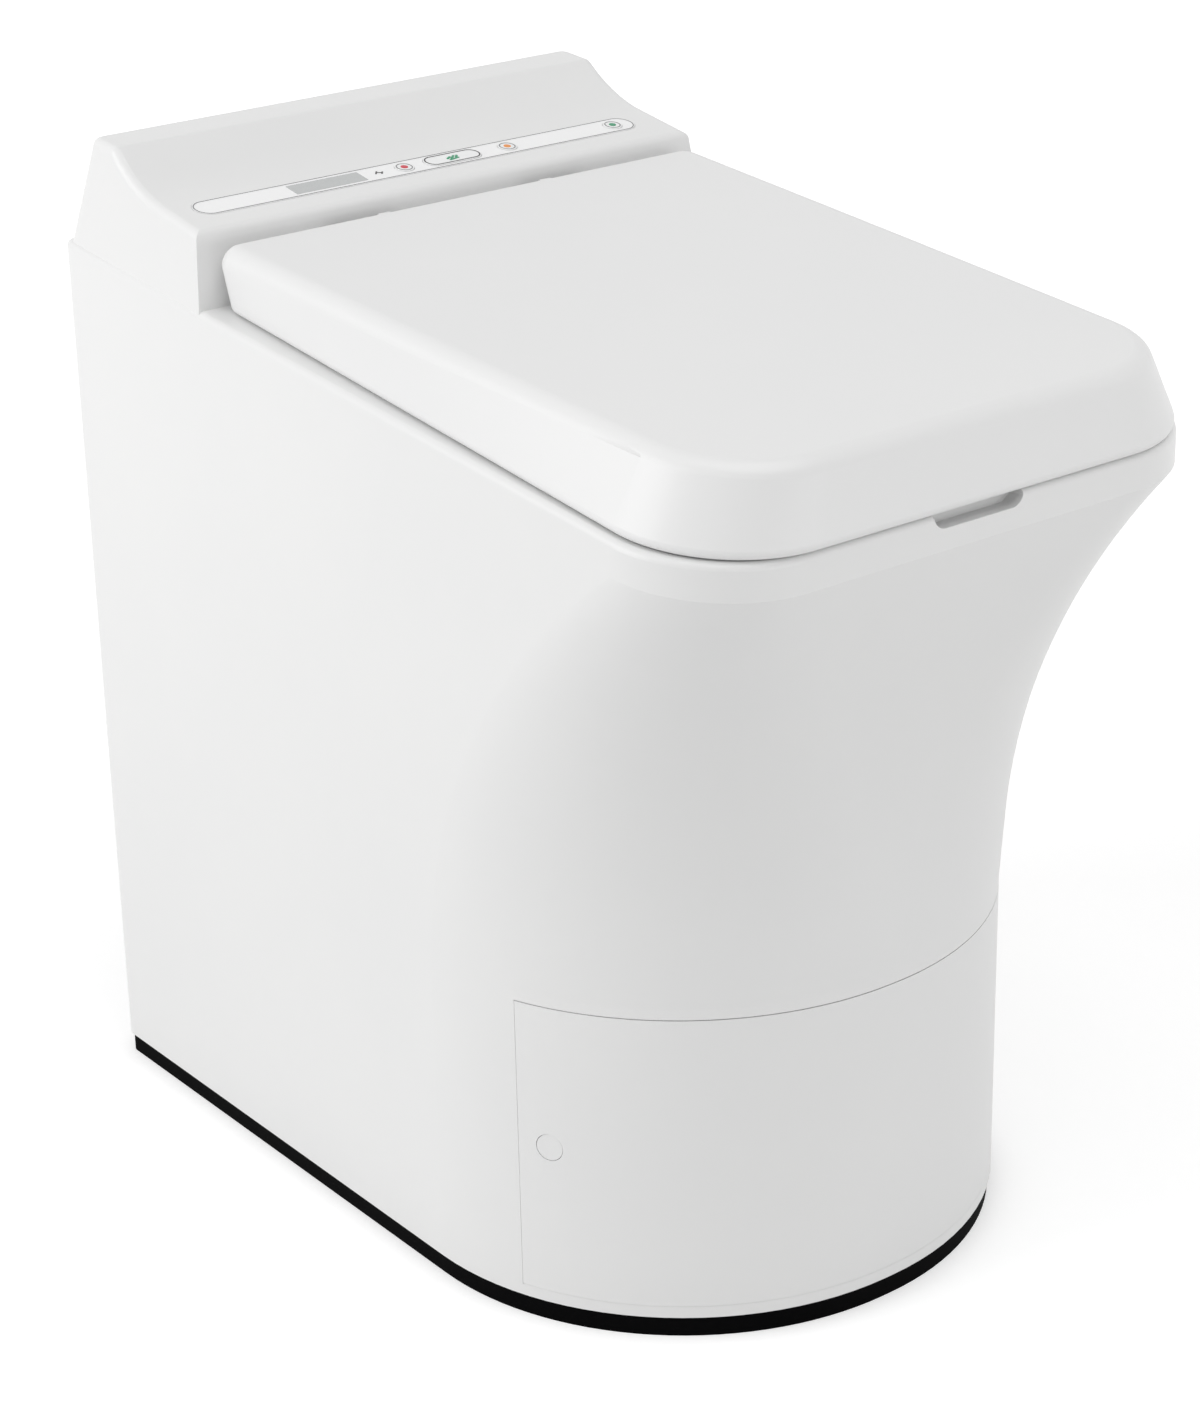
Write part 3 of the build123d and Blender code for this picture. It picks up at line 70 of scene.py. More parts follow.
class Graph:
    """A node tree with short ways to add and join nodes."""

    def __init__(self, tree: bpy.types.NodeTree) -> None:
        """Wraps a tree.

        Args:
            tree: The material's, world's or group's node tree.
        """
        self.tree = tree

    def add(self, kind: str, attributes: Optional[dict] = None, **sockets: object) -> Node:
        """Adds a node and fills its sockets.

        Args:
            kind: The node's type name.
            attributes: Values set on the node itself.
            **sockets: Socket values or source sockets, by socket name with _ for a space.

        Returns:
            The new node.
        """
        node = self.tree.nodes.new(kind)
        for key, value in (attributes or {}).items():
            setattr(node, key, value)
        for key, value in sockets.items():
            self.put(node, key.replace("_", " "), value)
        return node

    def put(self, node: Node, name: str, value: object) -> None:
        """Sets a socket, or joins it to a source socket.

        Args:
            node: The node with the socket.
            name: The socket's name.
            value: A value, or an output socket.
        """
        socket = node.inputs[name]
        if isinstance(value, Socket):
            self.tree.links.new(value, socket)
        else:
            socket.default_value = value

    def join(self, node: Node, *sources: Socket) -> Socket:
        """Joins sources to a node's first inputs, in order.

        Args:
            node: The node.
            *sources: The output sockets to join.

        Returns:
            The node's first output.
        """
        for socket, source in zip(node.inputs, sources):
            self.tree.links.new(source, socket)
        return node.outputs[0]

    def compute(self, operation: str, first: Socket, second: Socket) -> Socket:
        """Works out one value from two.

        Args:
            operation: The math node's operation.
            first: The first value's socket.
            second: The second value's socket.

        Returns:
            The result's socket.
        """
        return self.join(self.add("ShaderNodeMath", {"operation": operation}), first, second)

    def blend(self, mask: Socket, low: Colour, high: Colour) -> Socket:
        """Mixes two colours by a mask.

        Args:
            mask: The factor's socket.
            low: Colour where the mask is 0.
            high: Colour where the mask is 1.

        Returns:
            The mixed colour's socket.
        """
        node = self.add("ShaderNodeMix", {"data_type": "RGBA"})
        self.join(node, mask)
        node.inputs[MIX_LOW].default_value = (*low, 1.0)
        node.inputs[MIX_HIGH].default_value = (*high, 1.0)
        return node.outputs[MIX_RESULT]

    def span(
        self, value: Socket, low: float, high: float, start: float = 0.0, end: float = 1.0,
        curve: str = "LINEAR",
    ) -> Socket:
        """Maps a value on to a range.

        Args:
            value: The value's socket.
            low: Result at the start.
            high: Result at the end.
            start: Value that gives the low result.
            end: Value that gives the high result.
            curve: The interpolation between them.

        Returns:
            The mapped value's socket.
        """
        node = self.add("ShaderNodeMapRange", {"interpolation_type": curve}, Value=value)
        for name, limit in (("From Min", start), ("From Max", end), ("To Min", low), ("To Max", high)):
            self.put(node, name, limit)
        return node.outputs["Result"]


class Effects:
    """Node groups that several finishes share."""

    def __init__(self) -> None:
        """Builds the groups once."""
        self.mottle = self._mottle()
        self.grain = self._grain()
        self.brush = self._brush()
        self.cells = self._cells()

    @staticmethod
    def _new(name: str, inputs: dict[str, float], outputs: tuple[str, ...]) -> tuple[Graph, Node, Node]:
        """Starts a group whose first input is a vector named Position.

        Args:
            name: The group's name.
            inputs: Further inputs, numbers, with their defaults.
            outputs: Names of the outputs, all numbers.

        Returns:
            The graph, its input node and its output node.
        """
        tree = bpy.data.node_groups.new(name, "ShaderNodeTree")
        tree.interface.new_socket("Position", in_out="INPUT", socket_type="NodeSocketVector")
        for key, value in inputs.items():
            socket = tree.interface.new_socket(key, in_out="INPUT", socket_type="NodeSocketFloat")
            socket.default_value = value
        for key in outputs:
            tree.interface.new_socket(key, in_out="OUTPUT", socket_type="NodeSocketFloat")
        graph = Graph(tree)
        return graph, graph.add("NodeGroupInput"), graph.add("NodeGroupOutput")

    @staticmethod
    def _texture(
        graph: Graph, kind: str, source: Node, place: Optional[Socket] = None, **values: float
    ) -> Node:
        """Adds a texture at the group's own scale.

        Args:
            graph: The group's graph.
            kind: The texture node's type name.
            source: The group's input node.
            place: The coordinates' socket, or None for the group's Position.
            **values: The texture's other values.

        Returns:
            The texture node.
        """
        if place is None:
            place = source.outputs["Position"]
        return graph.add(kind, None, Vector=place, Scale=source.outputs["Scale"], **values)

    def _mottle(self) -> bpy.types.NodeTree:
        """Returns a group with a slow, soft mask for colour drift."""
        graph, source, sink = self._new("slow_mottle", {"Scale": 6.0}, ("Mask",))
        noise = self._texture(graph, "ShaderNodeTexNoise", source, Detail=4.0, Roughness=0.55)
        graph.put(sink, "Mask", graph.span(noise.outputs["Fac"], 0.0, 1.0, 0.3, 0.7, "SMOOTHSTEP"))
        return graph.tree

    def _grain(self) -> bpy.types.NodeTree:
        """Returns a group with a fine moulding grain as height and mask."""
        graph, source, sink = self._new("fine_grain", {"Scale": 1400.0, "Pits": 0.3}, ("Height", "Mask"))
        noise = self._texture(graph, "ShaderNodeTexNoise", source, Detail=3.0)
        cells = self._texture(graph, "ShaderNodeTexVoronoi", source)
        pits = graph.compute("MULTIPLY", cells.outputs["Distance"], source.outputs["Pits"])
        graph.put(sink, "Height", graph.compute("SUBTRACT", noise.outputs["Fac"], pits))
        graph.put(sink, "Mask", noise.outputs["Fac"])
        return graph.tree

    def _brush(self) -> bpy.types.NodeTree:
        """Returns a group with long strokes along X for brushed or rolled sheet."""
        defaults = {"Scale": 900.0, "Stretch": 0.02}
        graph, source, sink = self._new("brush_strokes", defaults, ("Height", "Mask"))
        squash = graph.add("ShaderNodeCombineXYZ", None, X=source.outputs["Stretch"], Y=1.0, Z=1.0)
        product = graph.add("ShaderNodeVectorMath", {"operation": "MULTIPLY"})
        place = graph.join(product, source.outputs["Position"], squash.outputs[0])
        noise = self._texture(graph, "ShaderNodeTexNoise", source, place, Detail=2.0, Roughness=0.6)
        for name in ("Height", "Mask"):
            graph.put(sink, name, noise.outputs["Fac"])
        return graph.tree

    def _cells(self) -> bpy.types.NodeTree:
        """Returns a group with broad flat cells, as spangle or fibre clumps have."""
        graph, source, sink = self._new("flat_cells", {"Scale": 60.0}, ("Mask", "Edge"))
        cells = self._texture(graph, "ShaderNodeTexVoronoi", source)
        split = graph.add("ShaderNodeSeparateColor", None, Color=cells.outputs["Color"])
        graph.put(sink, "Mask", split.outputs[0])
        graph.put(sink, "Edge", cells.outputs["Distance"])
        return graph.tree


EFFECTS = Effects()


@dataclass(frozen=True)
class Finish:
    """A finish that a material is built from.

    Attributes:
        name: The material's name.
        colour: Main colour, linear.
        drift: Second colour that the finish's mask mixes in.
        roughness: Lowest and highest roughness.
        metallic: Share of metal.
        specular: Level of the plain reflection.
        coat: Weight of the clear coat.
        coat_roughness: Roughness of the clear coat.
        mottle_scale: Scale of the slow colour drift.
        grain_scale: Scale of the grain.
        pits: Depth of the grain's pits.
        bump: Strength of the grain's bump.
        bump_size: Height of the grain, in metres.
    """

    name: str
    colour: Colour
    drift: Colour
    roughness: tuple[float, float] = (0.3, 0.36)
    metallic: float = 0.0
    specular: float = 0.5
    coat: float = 0.0
    coat_roughness: float = 0.1
    mottle_scale: float = 6.0
    grain_scale: float = 1400.0
    pits: float = 0.25
    bump: float = 0.05
    bump_size: float = 0.0002

    def build(self) -> bpy.types.Material:
        """Returns the finish's material, built once."""
        known = bpy.data.materials.get(self.name)
        if known is not None:
            return known
        material = bpy.data.materials.new(self.name)
        material.use_nodes = True
        graph = Graph(material.node_tree)
        graph.tree.nodes.clear()
        place = graph.add("ShaderNodeTexCoord").outputs["Object"]
        colour, rough, height = self.surface(graph, place)
        bump = graph.add("ShaderNodeBump", None, Height=height, Strength=self.bump, Distance=self.bump_size)
        shader = graph.add(
            "ShaderNodeBsdfPrincipled",
            None,
            Base_Color=colour,
            Roughness=rough,
            Normal=bump.outputs["Normal"],
            Metallic=self.metallic,
            Specular_IOR_Level=self.specular,
            Coat_Weight=self.coat,
            Coat_Roughness=self.coat_roughness,
        )
        graph.add("ShaderNodeOutputMaterial", None, Surface=shader.outputs["BSDF"])
        return material

    @staticmethod
    def use(
        graph: Graph, tree: bpy.types.NodeTree, place: Socket, **values: float
    ) -> bpy.types.NodeOutputs:
        """Places a shared effect in the material.

        Args:
            graph: The material's graph.
            tree: The effect's group.
            place: The coordinates' socket.
            **values: The effect's own values.

        Returns:
            The effect's outputs.
        """
        return graph.add("ShaderNodeGroup", {"node_tree": tree}, Position=place, **values).outputs

    def shades(self, graph: Graph, tint: Socket, gloss: Socket, height: Socket) -> Surface:
        """Spreads the finish's two colours and two roughnesses over its masks.

        Args:
            graph: The material's graph.
            tint: The mask between the colours.
            gloss: The mask between the roughnesses.
            height: The height's socket.

        Returns:
            Colour, roughness and height sockets.
        """
        return graph.blend(tint, self.colour, self.drift), graph.span(gloss, *self.roughness), height

    def surface(self, graph: Graph, place: Socket) -> Surface:
        """Makes a moulded or painted surface with a slow colour drift.

        Args:
            graph: The material's graph.
            place: The coordinates' socket.

        Returns:
            Colour, roughness and height sockets.
        """
        mottle = self.use(graph, EFFECTS.mottle, place, Scale=self.mottle_scale)
        grain = self.use(graph, EFFECTS.grain, place, Scale=self.grain_scale, Pits=self.pits)
        return self.shades(graph, mottle["Mask"], grain["Mask"], grain["Height"])


@dataclass(frozen=True)
class Sheet(Finish):
    """Rolled, brushed or zinc-coated sheet metal.

    Attributes:
        stretch: Share of the strokes' scale along X.
        stroke_scale: Scale of the strokes.
        spangle: Scale of the zinc coat's cells, or 0 for strokes.
    """

    metallic: float = 1.0
    stretch: float = 0.02
    stroke_scale: float = 900.0
    spangle: float = 0.0

    def surface(self, graph: Graph, place: Socket) -> Surface:
        """Makes strokes, or the flat cells of a zinc coat.

        Args:
            graph: The material's graph.
            place: The coordinates' socket.

        Returns:
            Colour, roughness and height sockets.
        """
        if self.spangle:
            cells = self.use(graph, EFFECTS.cells, place, Scale=self.spangle)
            return self.shades(graph, cells["Mask"], cells["Mask"], cells["Edge"])
        strokes = self.use(graph, EFFECTS.brush, place, Scale=self.stroke_scale, Stretch=self.stretch)
        return self.shades(graph, strokes["Mask"], strokes["Mask"], strokes["Height"])


@dataclass(frozen=True)
class Rough(Finish):
    """Cast, fibrous or fired material with a coarse surface."""

    grain_scale: float = 260.0
    pits: float = 0.6

    def surface(self, graph: Graph, place: Socket) -> Surface:
        """Makes a coarse, pitted surface.

        Args:
            graph: The material's graph.
            place: The coordinates' socket.

        Returns:
            Colour, roughness and height sockets.
        """
        grain = self.use(graph, EFFECTS.grain, place, Scale=self.grain_scale, Pits=self.pits)
        return self.shades(graph, grain["Mask"], grain["Mask"], grain["Height"])


@dataclass(frozen=True)
class Pane(Finish):
    """Clear, lightly tinted display pane over a grey liquid-crystal layer.

    Attributes:
        dot_scale: Scale of the layer's dots.
    """

    dot_scale: float = 1500.0

    def surface(self, graph: Graph, place: Socket) -> Surface:
        """Makes the faint dot rows of an unlit display.

        Args:
            graph: The material's graph.
            place: The coordinates' socket.

        Returns:
            Colour, roughness and height sockets.
        """
        dots = self.use(graph, EFFECTS.cells, place, Scale=self.dot_scale)
        return self.shades(graph, dots["Mask"], dots["Mask"], dots["Edge"])


WHITE_SHELL = Finish(
    "shell_white", (0.83, 0.83, 0.826), (0.818, 0.819, 0.817), (0.34, 0.4),
    coat=0.08, coat_roughness=0.25, bump=0.02,
)
WHITE_LID = Finish(
    "lid_white_satin", (0.83, 0.83, 0.828), (0.82, 0.821, 0.82), (0.36, 0.42),
    coat=0.06, coat_roughness=0.3, bump=0.015,
)
WHITE_SEAT = Finish(
    "seat_white_gloss", (0.82, 0.82, 0.815), (0.8, 0.8, 0.795), (0.16, 0.22),
    coat=0.4, coat_roughness=0.08,
)
WHITE_STRIP = Finish("strip_white_film", (0.95, 0.95, 0.952), (0.94, 0.941, 0.943), (0.34, 0.4), bump=0.02)
WHITE_KEY = Finish("key_white_cap", (0.91, 0.915, 0.915), (0.9, 0.905, 0.905), (0.28, 0.34), bump=0.04)
BLACK_BASE = Finish(
    "base_black_plastic", (0.002, 0.002, 0.0022), (0.003, 0.003, 0.0032), (0.6, 0.72),
    specular=0.02, bump=0.12,
)
BLACK_PART = Finish("part_black_plastic", (0.014, 0.014, 0.015), (0.02, 0.02, 0.021), (0.4, 0.5), bump=0.15)
GREY_RING = Finish("ring_grey_print", (0.2, 0.2, 0.205), (0.18, 0.18, 0.185), (0.4, 0.46), bump=0.03)
RED_KEY = Finish("key_red_cap", (0.66, 0.006, 0.035), (0.6, 0.005, 0.03), (0.26, 0.32), bump=0.04)
AMBER_KEY = Finish("key_amber_cap", (0.85, 0.27, 0.01), (0.8, 0.25, 0.01), (0.26, 0.32), bump=0.04)
GREEN_KEY = Finish("key_green_cap", (0.0, 0.3, 0.13), (0.0, 0.27, 0.115), (0.26, 0.32), bump=0.04)
RUBBER = Finish(
    "pad_rubber", (0.03, 0.03, 0.032), (0.045, 0.045, 0.047), (0.7, 0.82),
    specular=0.25, bump=0.3, bump_size=0.0004,
)
DARK_PRINT = Finish("mark_dark_print", (0.03, 0.028, 0.028), (0.04, 0.038, 0.038), (0.4, 0.46), bump=0.03)
STEEL = Sheet("steel_brushed", (0.6, 0.59, 0.58), (0.5, 0.495, 0.49), (0.26, 0.4), bump=0.08)
SCALED_STEEL = Sheet(
    "steel_heat_tinted", (0.42, 0.37, 0.32), (0.3, 0.27, 0.26), (0.36, 0.55),
    bump=0.12, stretch=0.2,
)
ZINC = Sheet("sheet_zinc", (0.58, 0.59, 0.6), (0.53, 0.54, 0.552), (0.36, 0.46), spangle=110.0, bump=0.03)
ELEMENT = Sheet(
    "element_sheath", (0.16, 0.12, 0.1), (0.1, 0.08, 0.075), (0.5, 0.65),
    stretch=1.0, bump=0.15,
)
DARK_ENAMEL = Finish(
    "motor_dark_enamel", (0.03, 0.03, 0.033), (0.045, 0.045, 0.048), (0.32, 0.42),
    coat=0.3, bump=0.12,
)
FIBRE = Rough(
    "jacket_ceramic_fibre", (0.72, 0.68, 0.6), (0.58, 0.54, 0.47), (0.85, 0.95),
    bump=0.6, bump_size=0.0012,
)
CORDIERITE = Rough(
    "core_fired_ceramic", (0.5, 0.44, 0.36), (0.4, 0.35, 0.29), (0.75, 0.9),
    bump=0.3, bump_size=0.0004, grain_scale=600.0,
)
NYLON = Finish(
    "gear_cream_nylon", (0.7, 0.66, 0.52), (0.64, 0.6, 0.47), (0.42, 0.5),
    specular=0.4, bump=0.1,
)
BOARD = Finish(
    "board_green_lacquer", (0.01, 0.11, 0.04), (0.012, 0.14, 0.05), (0.25, 0.35),
    coat=0.5, bump=0.08, mottle_scale=160.0,
)
DISPLAY = Pane(
    "display_pane", (0.47, 0.485, 0.485), (0.43, 0.445, 0.445), (0.12, 0.18),
    coat=0.6, coat_roughness=0.04, bump=0.01,
)
CHIP = Finish("chip_black_epoxy", (0.012, 0.012, 0.013), (0.02, 0.02, 0.02), (0.5, 0.6), bump=0.1)
SOLDER = Sheet("solder_tin", (0.6, 0.61, 0.62), (0.5, 0.51, 0.53), (0.25, 0.4), stretch=1.0)

NODE_FINISHES: dict[Finish, tuple[str, ...]] = {
    WHITE_SHELL: ("casing", "ash_hatch", "hatch_catch_left", "hatch_catch_right"),
    WHITE_LID: ("lid",),
    WHITE_SEAT: ("seat", "hinge_posts"),
    WHITE_STRIP: ("control_strip",),
    WHITE_KEY: ("flush_key", "red_key", "amber_key", "green_key"),
    DISPLAY: ("display_window",),
    BLACK_BASE: ("base_tray",),
    BLACK_PART: ("exhaust_spigot", "fan_housing", "mains_inlet", "power_box", "lid_switch"),
    RUBBER: ("foot_pads", "lid_bumpers", "seat_bumpers"),
    STEEL: (
        "ash_pan", "pan_handle", "bowl", "drop_duct", "flap_left", "flap_right", "flap_shaft_left",
        "flap_shaft_right", "hinge_pins", "panel_screws", "temperature_probe",
    ),
    SCALED_STEEL: ("combustion_chamber", "chamber_cover", "catalyst_housing"),
    ZINC: (
        "pan_rails", "chamber_shelf", "side_frame_left", "side_frame_right", "cover_rails", "gear_plate",
        "rear_panel",
    ),
    ELEMENT: ("heating_element",),
    DARK_ENAMEL: ("flap_motor", "fan_motor"),
    FIBRE: ("insulation_jacket",),
    CORDIERITE: ("catalyst_core",),
    NYLON: ("sector_gear_left", "sector_gear_right", "fan_impeller"),
    BOARD: ("control_board",),
}


def dress_nodes() -> None:
    """Gives every CAD node the material of its finish."""
    for finish, names in NODE_FINISHES.items():
        material = finish.build()
        for name in names:
            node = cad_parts[name]
            if not node.material_slots:
                node.data.materials.append(material)
            for slot in node.material_slots:
                slot.material = material
            log.info("dressed %s in %s", name, finish.name)


def deselect() -> None:
    """Leaves edit mode and deselects every object."""
    if bpy.context.object is not None and bpy.context.object.mode != "OBJECT":
        bpy.ops.object.mode_set(mode="OBJECT")
    bpy.ops.object.select_all(action="DESELECT")


class Model:
    """One mesh piece, shaped with mesh operators and set down in the part's own frame."""

    def __init__(self, name: str, finish: Finish, body: str, slot: str) -> None:
        """Keeps what the piece is called and rides on.

        Args:
            name: The piece's name.
            finish: Its finish.
            body: The CAD body that it moves with.
            slot: The record's material slot. It is kept but not used.
        """
        self.name = name
        self.finish = finish
        self.body = body
        self.slot = slot

    def begin(self, operator: Callable, **values: object) -> "Model":
        """Adds the first primitive and stays in edit mode with all of it selected.

        Args:
            operator: The primitive's operator.
            **values: Its sizes and place.

        Returns:
            The model itself.
        """
        deselect()
        operator(**values)
        self.object = bpy.context.object
        self.object.name = self.name
        bpy.ops.object.transform_apply(location=True, rotation=True, scale=True)
        bpy.ops.object.mode_set(mode="EDIT")
        bpy.ops.mesh.select_mode(type="FACE")
        bpy.ops.mesh.select_all(action="SELECT")
        return self

    def plate(self, half_length: float, half_width: float) -> "Model":
        """Starts from a flat plate in its own plane.

        Args:
            half_length: Half its size along X.
            half_width: Half its size along Y.

        Returns:
            The model itself.
        """
        self.begin(bpy.ops.mesh.primitive_plane_add, size=2)
        bpy.ops.transform.resize(value=(half_length, half_width, 1))
        return self

    def pill(self, half: float, radius: float, vertices: int) -> "Model":
        """Starts from a flat disc and draws its halves apart to a pill.

        Args:
            half: Half its overall length.
            radius: Its end radius.
            vertices: How many points the disc has.

        Returns:
            The model itself, with all of it selected.
        """
        self.begin(bpy.ops.mesh.primitive_circle_add, vertices=vertices, radius=radius, fill_type="NGON")
        stretch = half - radius
        if stretch > 0:
            self.points(lambda p: p.x > NEAR).move((stretch, 0, 0))
            self.points(lambda p: p.x < -NEAR).move((-stretch, 0, 0))
        return self.whole()

    def faces(self, test: Callable[[Vector, Vector], bool]) -> "Model":
        """Selects the faces that pass a test.

        Args:
            test: Takes a face's centre and normal.

        Returns:
            The model itself.
        """
        bpy.ops.mesh.select_mode(type="FACE")
        bpy.ops.mesh.select_all(action="DESELECT")
        mesh = bmesh.from_edit_mesh(self.object.data)
        for face in mesh.faces:
            face.select_set(test(face.calc_center_median(), face.normal))
        bmesh.update_edit_mesh(self.object.data)
        return self

    def whole(self) -> "Model":
        """Selects every face."""
        return self.faces(lambda c, n: True)

    def cap(self, level: float) -> "Model":
        """Selects the level faces above a height."""
        return self.faces(lambda c, n: abs(n.z) > FACING and c.z > level)

    def peak(self) -> float:
        """Returns the height of the highest vertex."""
        return max(vertex.co.z for vertex in bmesh.from_edit_mesh(self.object.data).verts)

    def points(self, test: Callable[[Vector], bool]) -> "Model":
        """Selects the vertices that pass a test.

        Args:
            test: Takes a vertex's place.

        Returns:
            The model itself.
        """
        bpy.ops.mesh.select_mode(type="VERT")
        bpy.ops.mesh.select_all(action="DESELECT")
        mesh = bmesh.from_edit_mesh(self.object.data)
        for vertex in mesh.verts:
            vertex.select_set(test(vertex.co))
        mesh.select_flush(True)
        bmesh.update_edit_mesh(self.object.data)
        return self

    def move(self, step: Point) -> "Model":
        """Moves what is selected by a step."""
        bpy.ops.transform.translate(value=step)
        return self

    def pull(self, step: Point) -> "Model":
        """Extrudes the selected faces along a step."""
        bpy.ops.mesh.extrude_region_move(TRANSFORM_OT_translate={"value": step})
        return self

    def inset(self, width: float, depth: float = 0.0) -> "Model":
        """Insets the selected faces by a border's width, and moves their middle along its normal."""
        bpy.ops.mesh.inset(thickness=width, depth=depth)
        return self

    def drop(self) -> "Model":
        """Deletes the selected faces."""
        bpy.ops.mesh.delete(type="FACE")
        return self

    def modify(self, kind: str, **values: object) -> "Model":
        """Adds a modifier and applies it, and keeps the mode.

        Args:
            kind: The modifier's type.
            **values: Its settings.

        Returns:
            The model itself.
        """
        mode = self.object.mode
        bpy.ops.object.mode_set(mode="OBJECT")
        modifier = self.object.modifiers.new(kind.lower(), kind)
        for key, value in values.items():
            setattr(modifier, key, value)
        bpy.ops.object.modifier_apply(modifier=modifier.name)
        bpy.ops.object.mode_set(mode=mode)
        return self

    def finish_piece(self, place: Optional[Matrix] = None, bevel: float = 0.0) -> None:
        """Leaves edit mode, bevels, sets the piece down, dresses it and ties it to its body.

        Args:
            place: Where the piece goes, as a matrix on its mesh.
            bevel: The edge bevel's width, or 0.
        """
        bpy.ops.mesh.select_all(action="SELECT")
        bpy.ops.mesh.remove_doubles(threshold=MERGE)
        bpy.ops.mesh.normals_make_consistent(inside=False)
        bpy.ops.object.mode_set(mode="OBJECT")
        if bevel:
            self.modify(
                "BEVEL", width=bevel, segments=BEVEL_SEGMENTS, limit_method="ANGLE", angle_limit=SHARP
            )
        if place is not None:
            self.object.data.transform(place)
        bpy.ops.object.shade_smooth_by_angle(angle=SHARP)
        self.object.data.materials.append(self.finish.build())
        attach(self.object, self.body)
        log.info("made %s on %s", self.name, self.body)
        deselect()


@dataclass(frozen=True)
class Mark:
    """Where a printed line or dot lies on the strip, and how large it is.

    Attributes:
        x: Its middle along the strip.
        lift: Its underside over the console's face.
        half: Half its overall length.
        radius: Its end radius.
        y: Its place across the strip.
        turn: Its turn in the strip's plane, in radians.
    """

    x: float
    lift: float
    half: float
    radius: float
    y: float = 0.0
    turn: float = 0.0


@dataclass
class ControlPanel:
    """Printed rings, marks and outlines on the control strip, in the strip's own plane.

    Attributes:
        rear: The rear face, behind the part's origin.
        depth: The strip's middle, in front of the rear face.
        height: Its height above the floor.
        slope: Its fall towards the front, in radians.
        top: The strip's top above the console's face.
        key_top: The keys' top above the console's face.
        film: Thickness of the printed film.
        line: Width of a printed line, and its distance from the edge it follows.
        flush_line: Width of the line round the flush key.
        strip_middle: The strip's middle, along the strip.
        strip_half: Half the strip's length.
        strip_radius: Its end radius.
        flush_x: The flush key's middle, along the strip.
        flush_half: Half its length.
        flush_radius: Its end radius.
        flush_marks: Place, turn and half length of each leaf on the flush key.
        flush_foot: Half length, place across the strip and turn of the stroke under the leaves.
        leaf_radius: End radius of the leaves and of the stroke.
        ring_radius: Radius of the ring round a key's dot.
        dot_radius: Radius of the dot.
        display_x: The display's middle, along the strip.
        display_half: Half its length.
        display_tall: Half its height.
        display_corner: Its corner radius.
        corner_segments: Segments of a corner.
        icon_x: The bolt's middle, along the strip.
        bolt: Place, place across the strip, turn and half length of each stroke of the bolt.
        bolt_radius: End radius of those strokes.
        keys: Name, place along the strip and finish of each round key.
        ring_points: Points round a printed line's ends.
        dot_points: Points round a dot.
    """

    rear: float = 0.27025
    depth: float = 0.119
    height: float = 0.58358
    slope: float = math.atan2(7.2, 44.0)
    top: float = 0.0002
    key_top: float = 0.0007
    film: float = 0.00012
    line: float = 0.0006
    flush_line: float = 0.0008
    strip_middle: float = -0.003
    strip_half: float = 0.159
    strip_radius: float = 0.01
    flush_x: float = 0.019
    flush_half: float = 0.02
    flush_radius: float = 0.007
    flush_marks: tuple[tuple[float, float, float], ...] = (
        (-0.0026, 0.6, 0.0024), (0.0002, 0.75, 0.0032), (0.003, 0.9, 0.0024),
    )
    flush_foot: tuple[float, float, float] = (0.004, -0.0024, 0.2)
    leaf_radius: float = 0.0008
    ring_radius: float = 0.0051
    dot_radius: float = 0.0023
    display_x: float = -0.071
    display_half: float = 0.025
    display_tall: float = 0.0066
    display_corner: float = 0.0008
    corner_segments: int = 3
    icon_x: float = -0.0345
    bolt: tuple[tuple[float, float, float, float], ...] = (
        (-0.0013, 0.0006, 0.9, 0.0022), (0.0005, 0.0, -0.5, 0.0014), (0.002, -0.0008, 0.9, 0.0018),
    )
    bolt_radius: float = 0.0005
    keys: tuple[tuple[str, float, Finish], ...] = (
        ("red", -0.016, RED_KEY), ("amber", 0.06, AMBER_KEY), ("green", 0.141, GREEN_KEY),
    )
    ring_points: int = 48
    dot_points: int = 32

    def plane(self, x: float, lift: float, y: float = 0.0, turn: float = 0.0) -> Matrix:
        """Returns the matrix from a flat drawing to a place on the strip.

        Args:
            x: Place along the strip.
            lift: Height over the console's face.
            y: Place across the strip.
            turn: Turn of the drawing in the strip's plane, in radians.
        """
        middle = Matrix.Translation((0, self.rear - self.depth, self.height))
        tilt = middle @ Matrix.Rotation(self.slope, 4, "X")
        return tilt @ Matrix.Translation((x, y, lift)) @ Matrix.Rotation(turn, 4, "Z")

    def outline(self, model: Model, mark: Mark, width: float) -> None:
        """Makes a thin printed ring or pill-shaped outline.

        Args:
            model: The piece.
            mark: Its place and size.
            width: The line's width.
        """
        model.pill(mark.half, mark.radius, self.ring_points).inset(width).drop()
        model.whole().pull((0, 0, self.film))
        model.finish_piece(self.plane(mark.x, mark.lift))

    def dot(self, model: Model, mark: Mark) -> None:
        """Makes a small domed dot or pill mark.

        Args:
            model: The piece.
            mark: Its place and size.
        """
        model.pill(mark.half, mark.radius, self.dot_points).pull((0, 0, self.film))
        model.cap(self.film / 2).inset(mark.radius / 4).move((0, 0, self.film / 2))
        model.finish_piece(self.plane(mark.x, mark.lift, mark.y, mark.turn))

    def display_film(self) -> None:
        """Makes the film that covers the display and its edge."""
        model = Model("display_film", DISPLAY, "cabinet", "display_grey")
        model.plate(self.display_half, self.display_tall)
        bpy.ops.mesh.bevel(offset=self.display_corner, segments=self.corner_segments, affect="VERTICES")
        model.whole().pull((0, 0, self.film))
        model.finish_piece(self.plane(self.display_x, self.top))

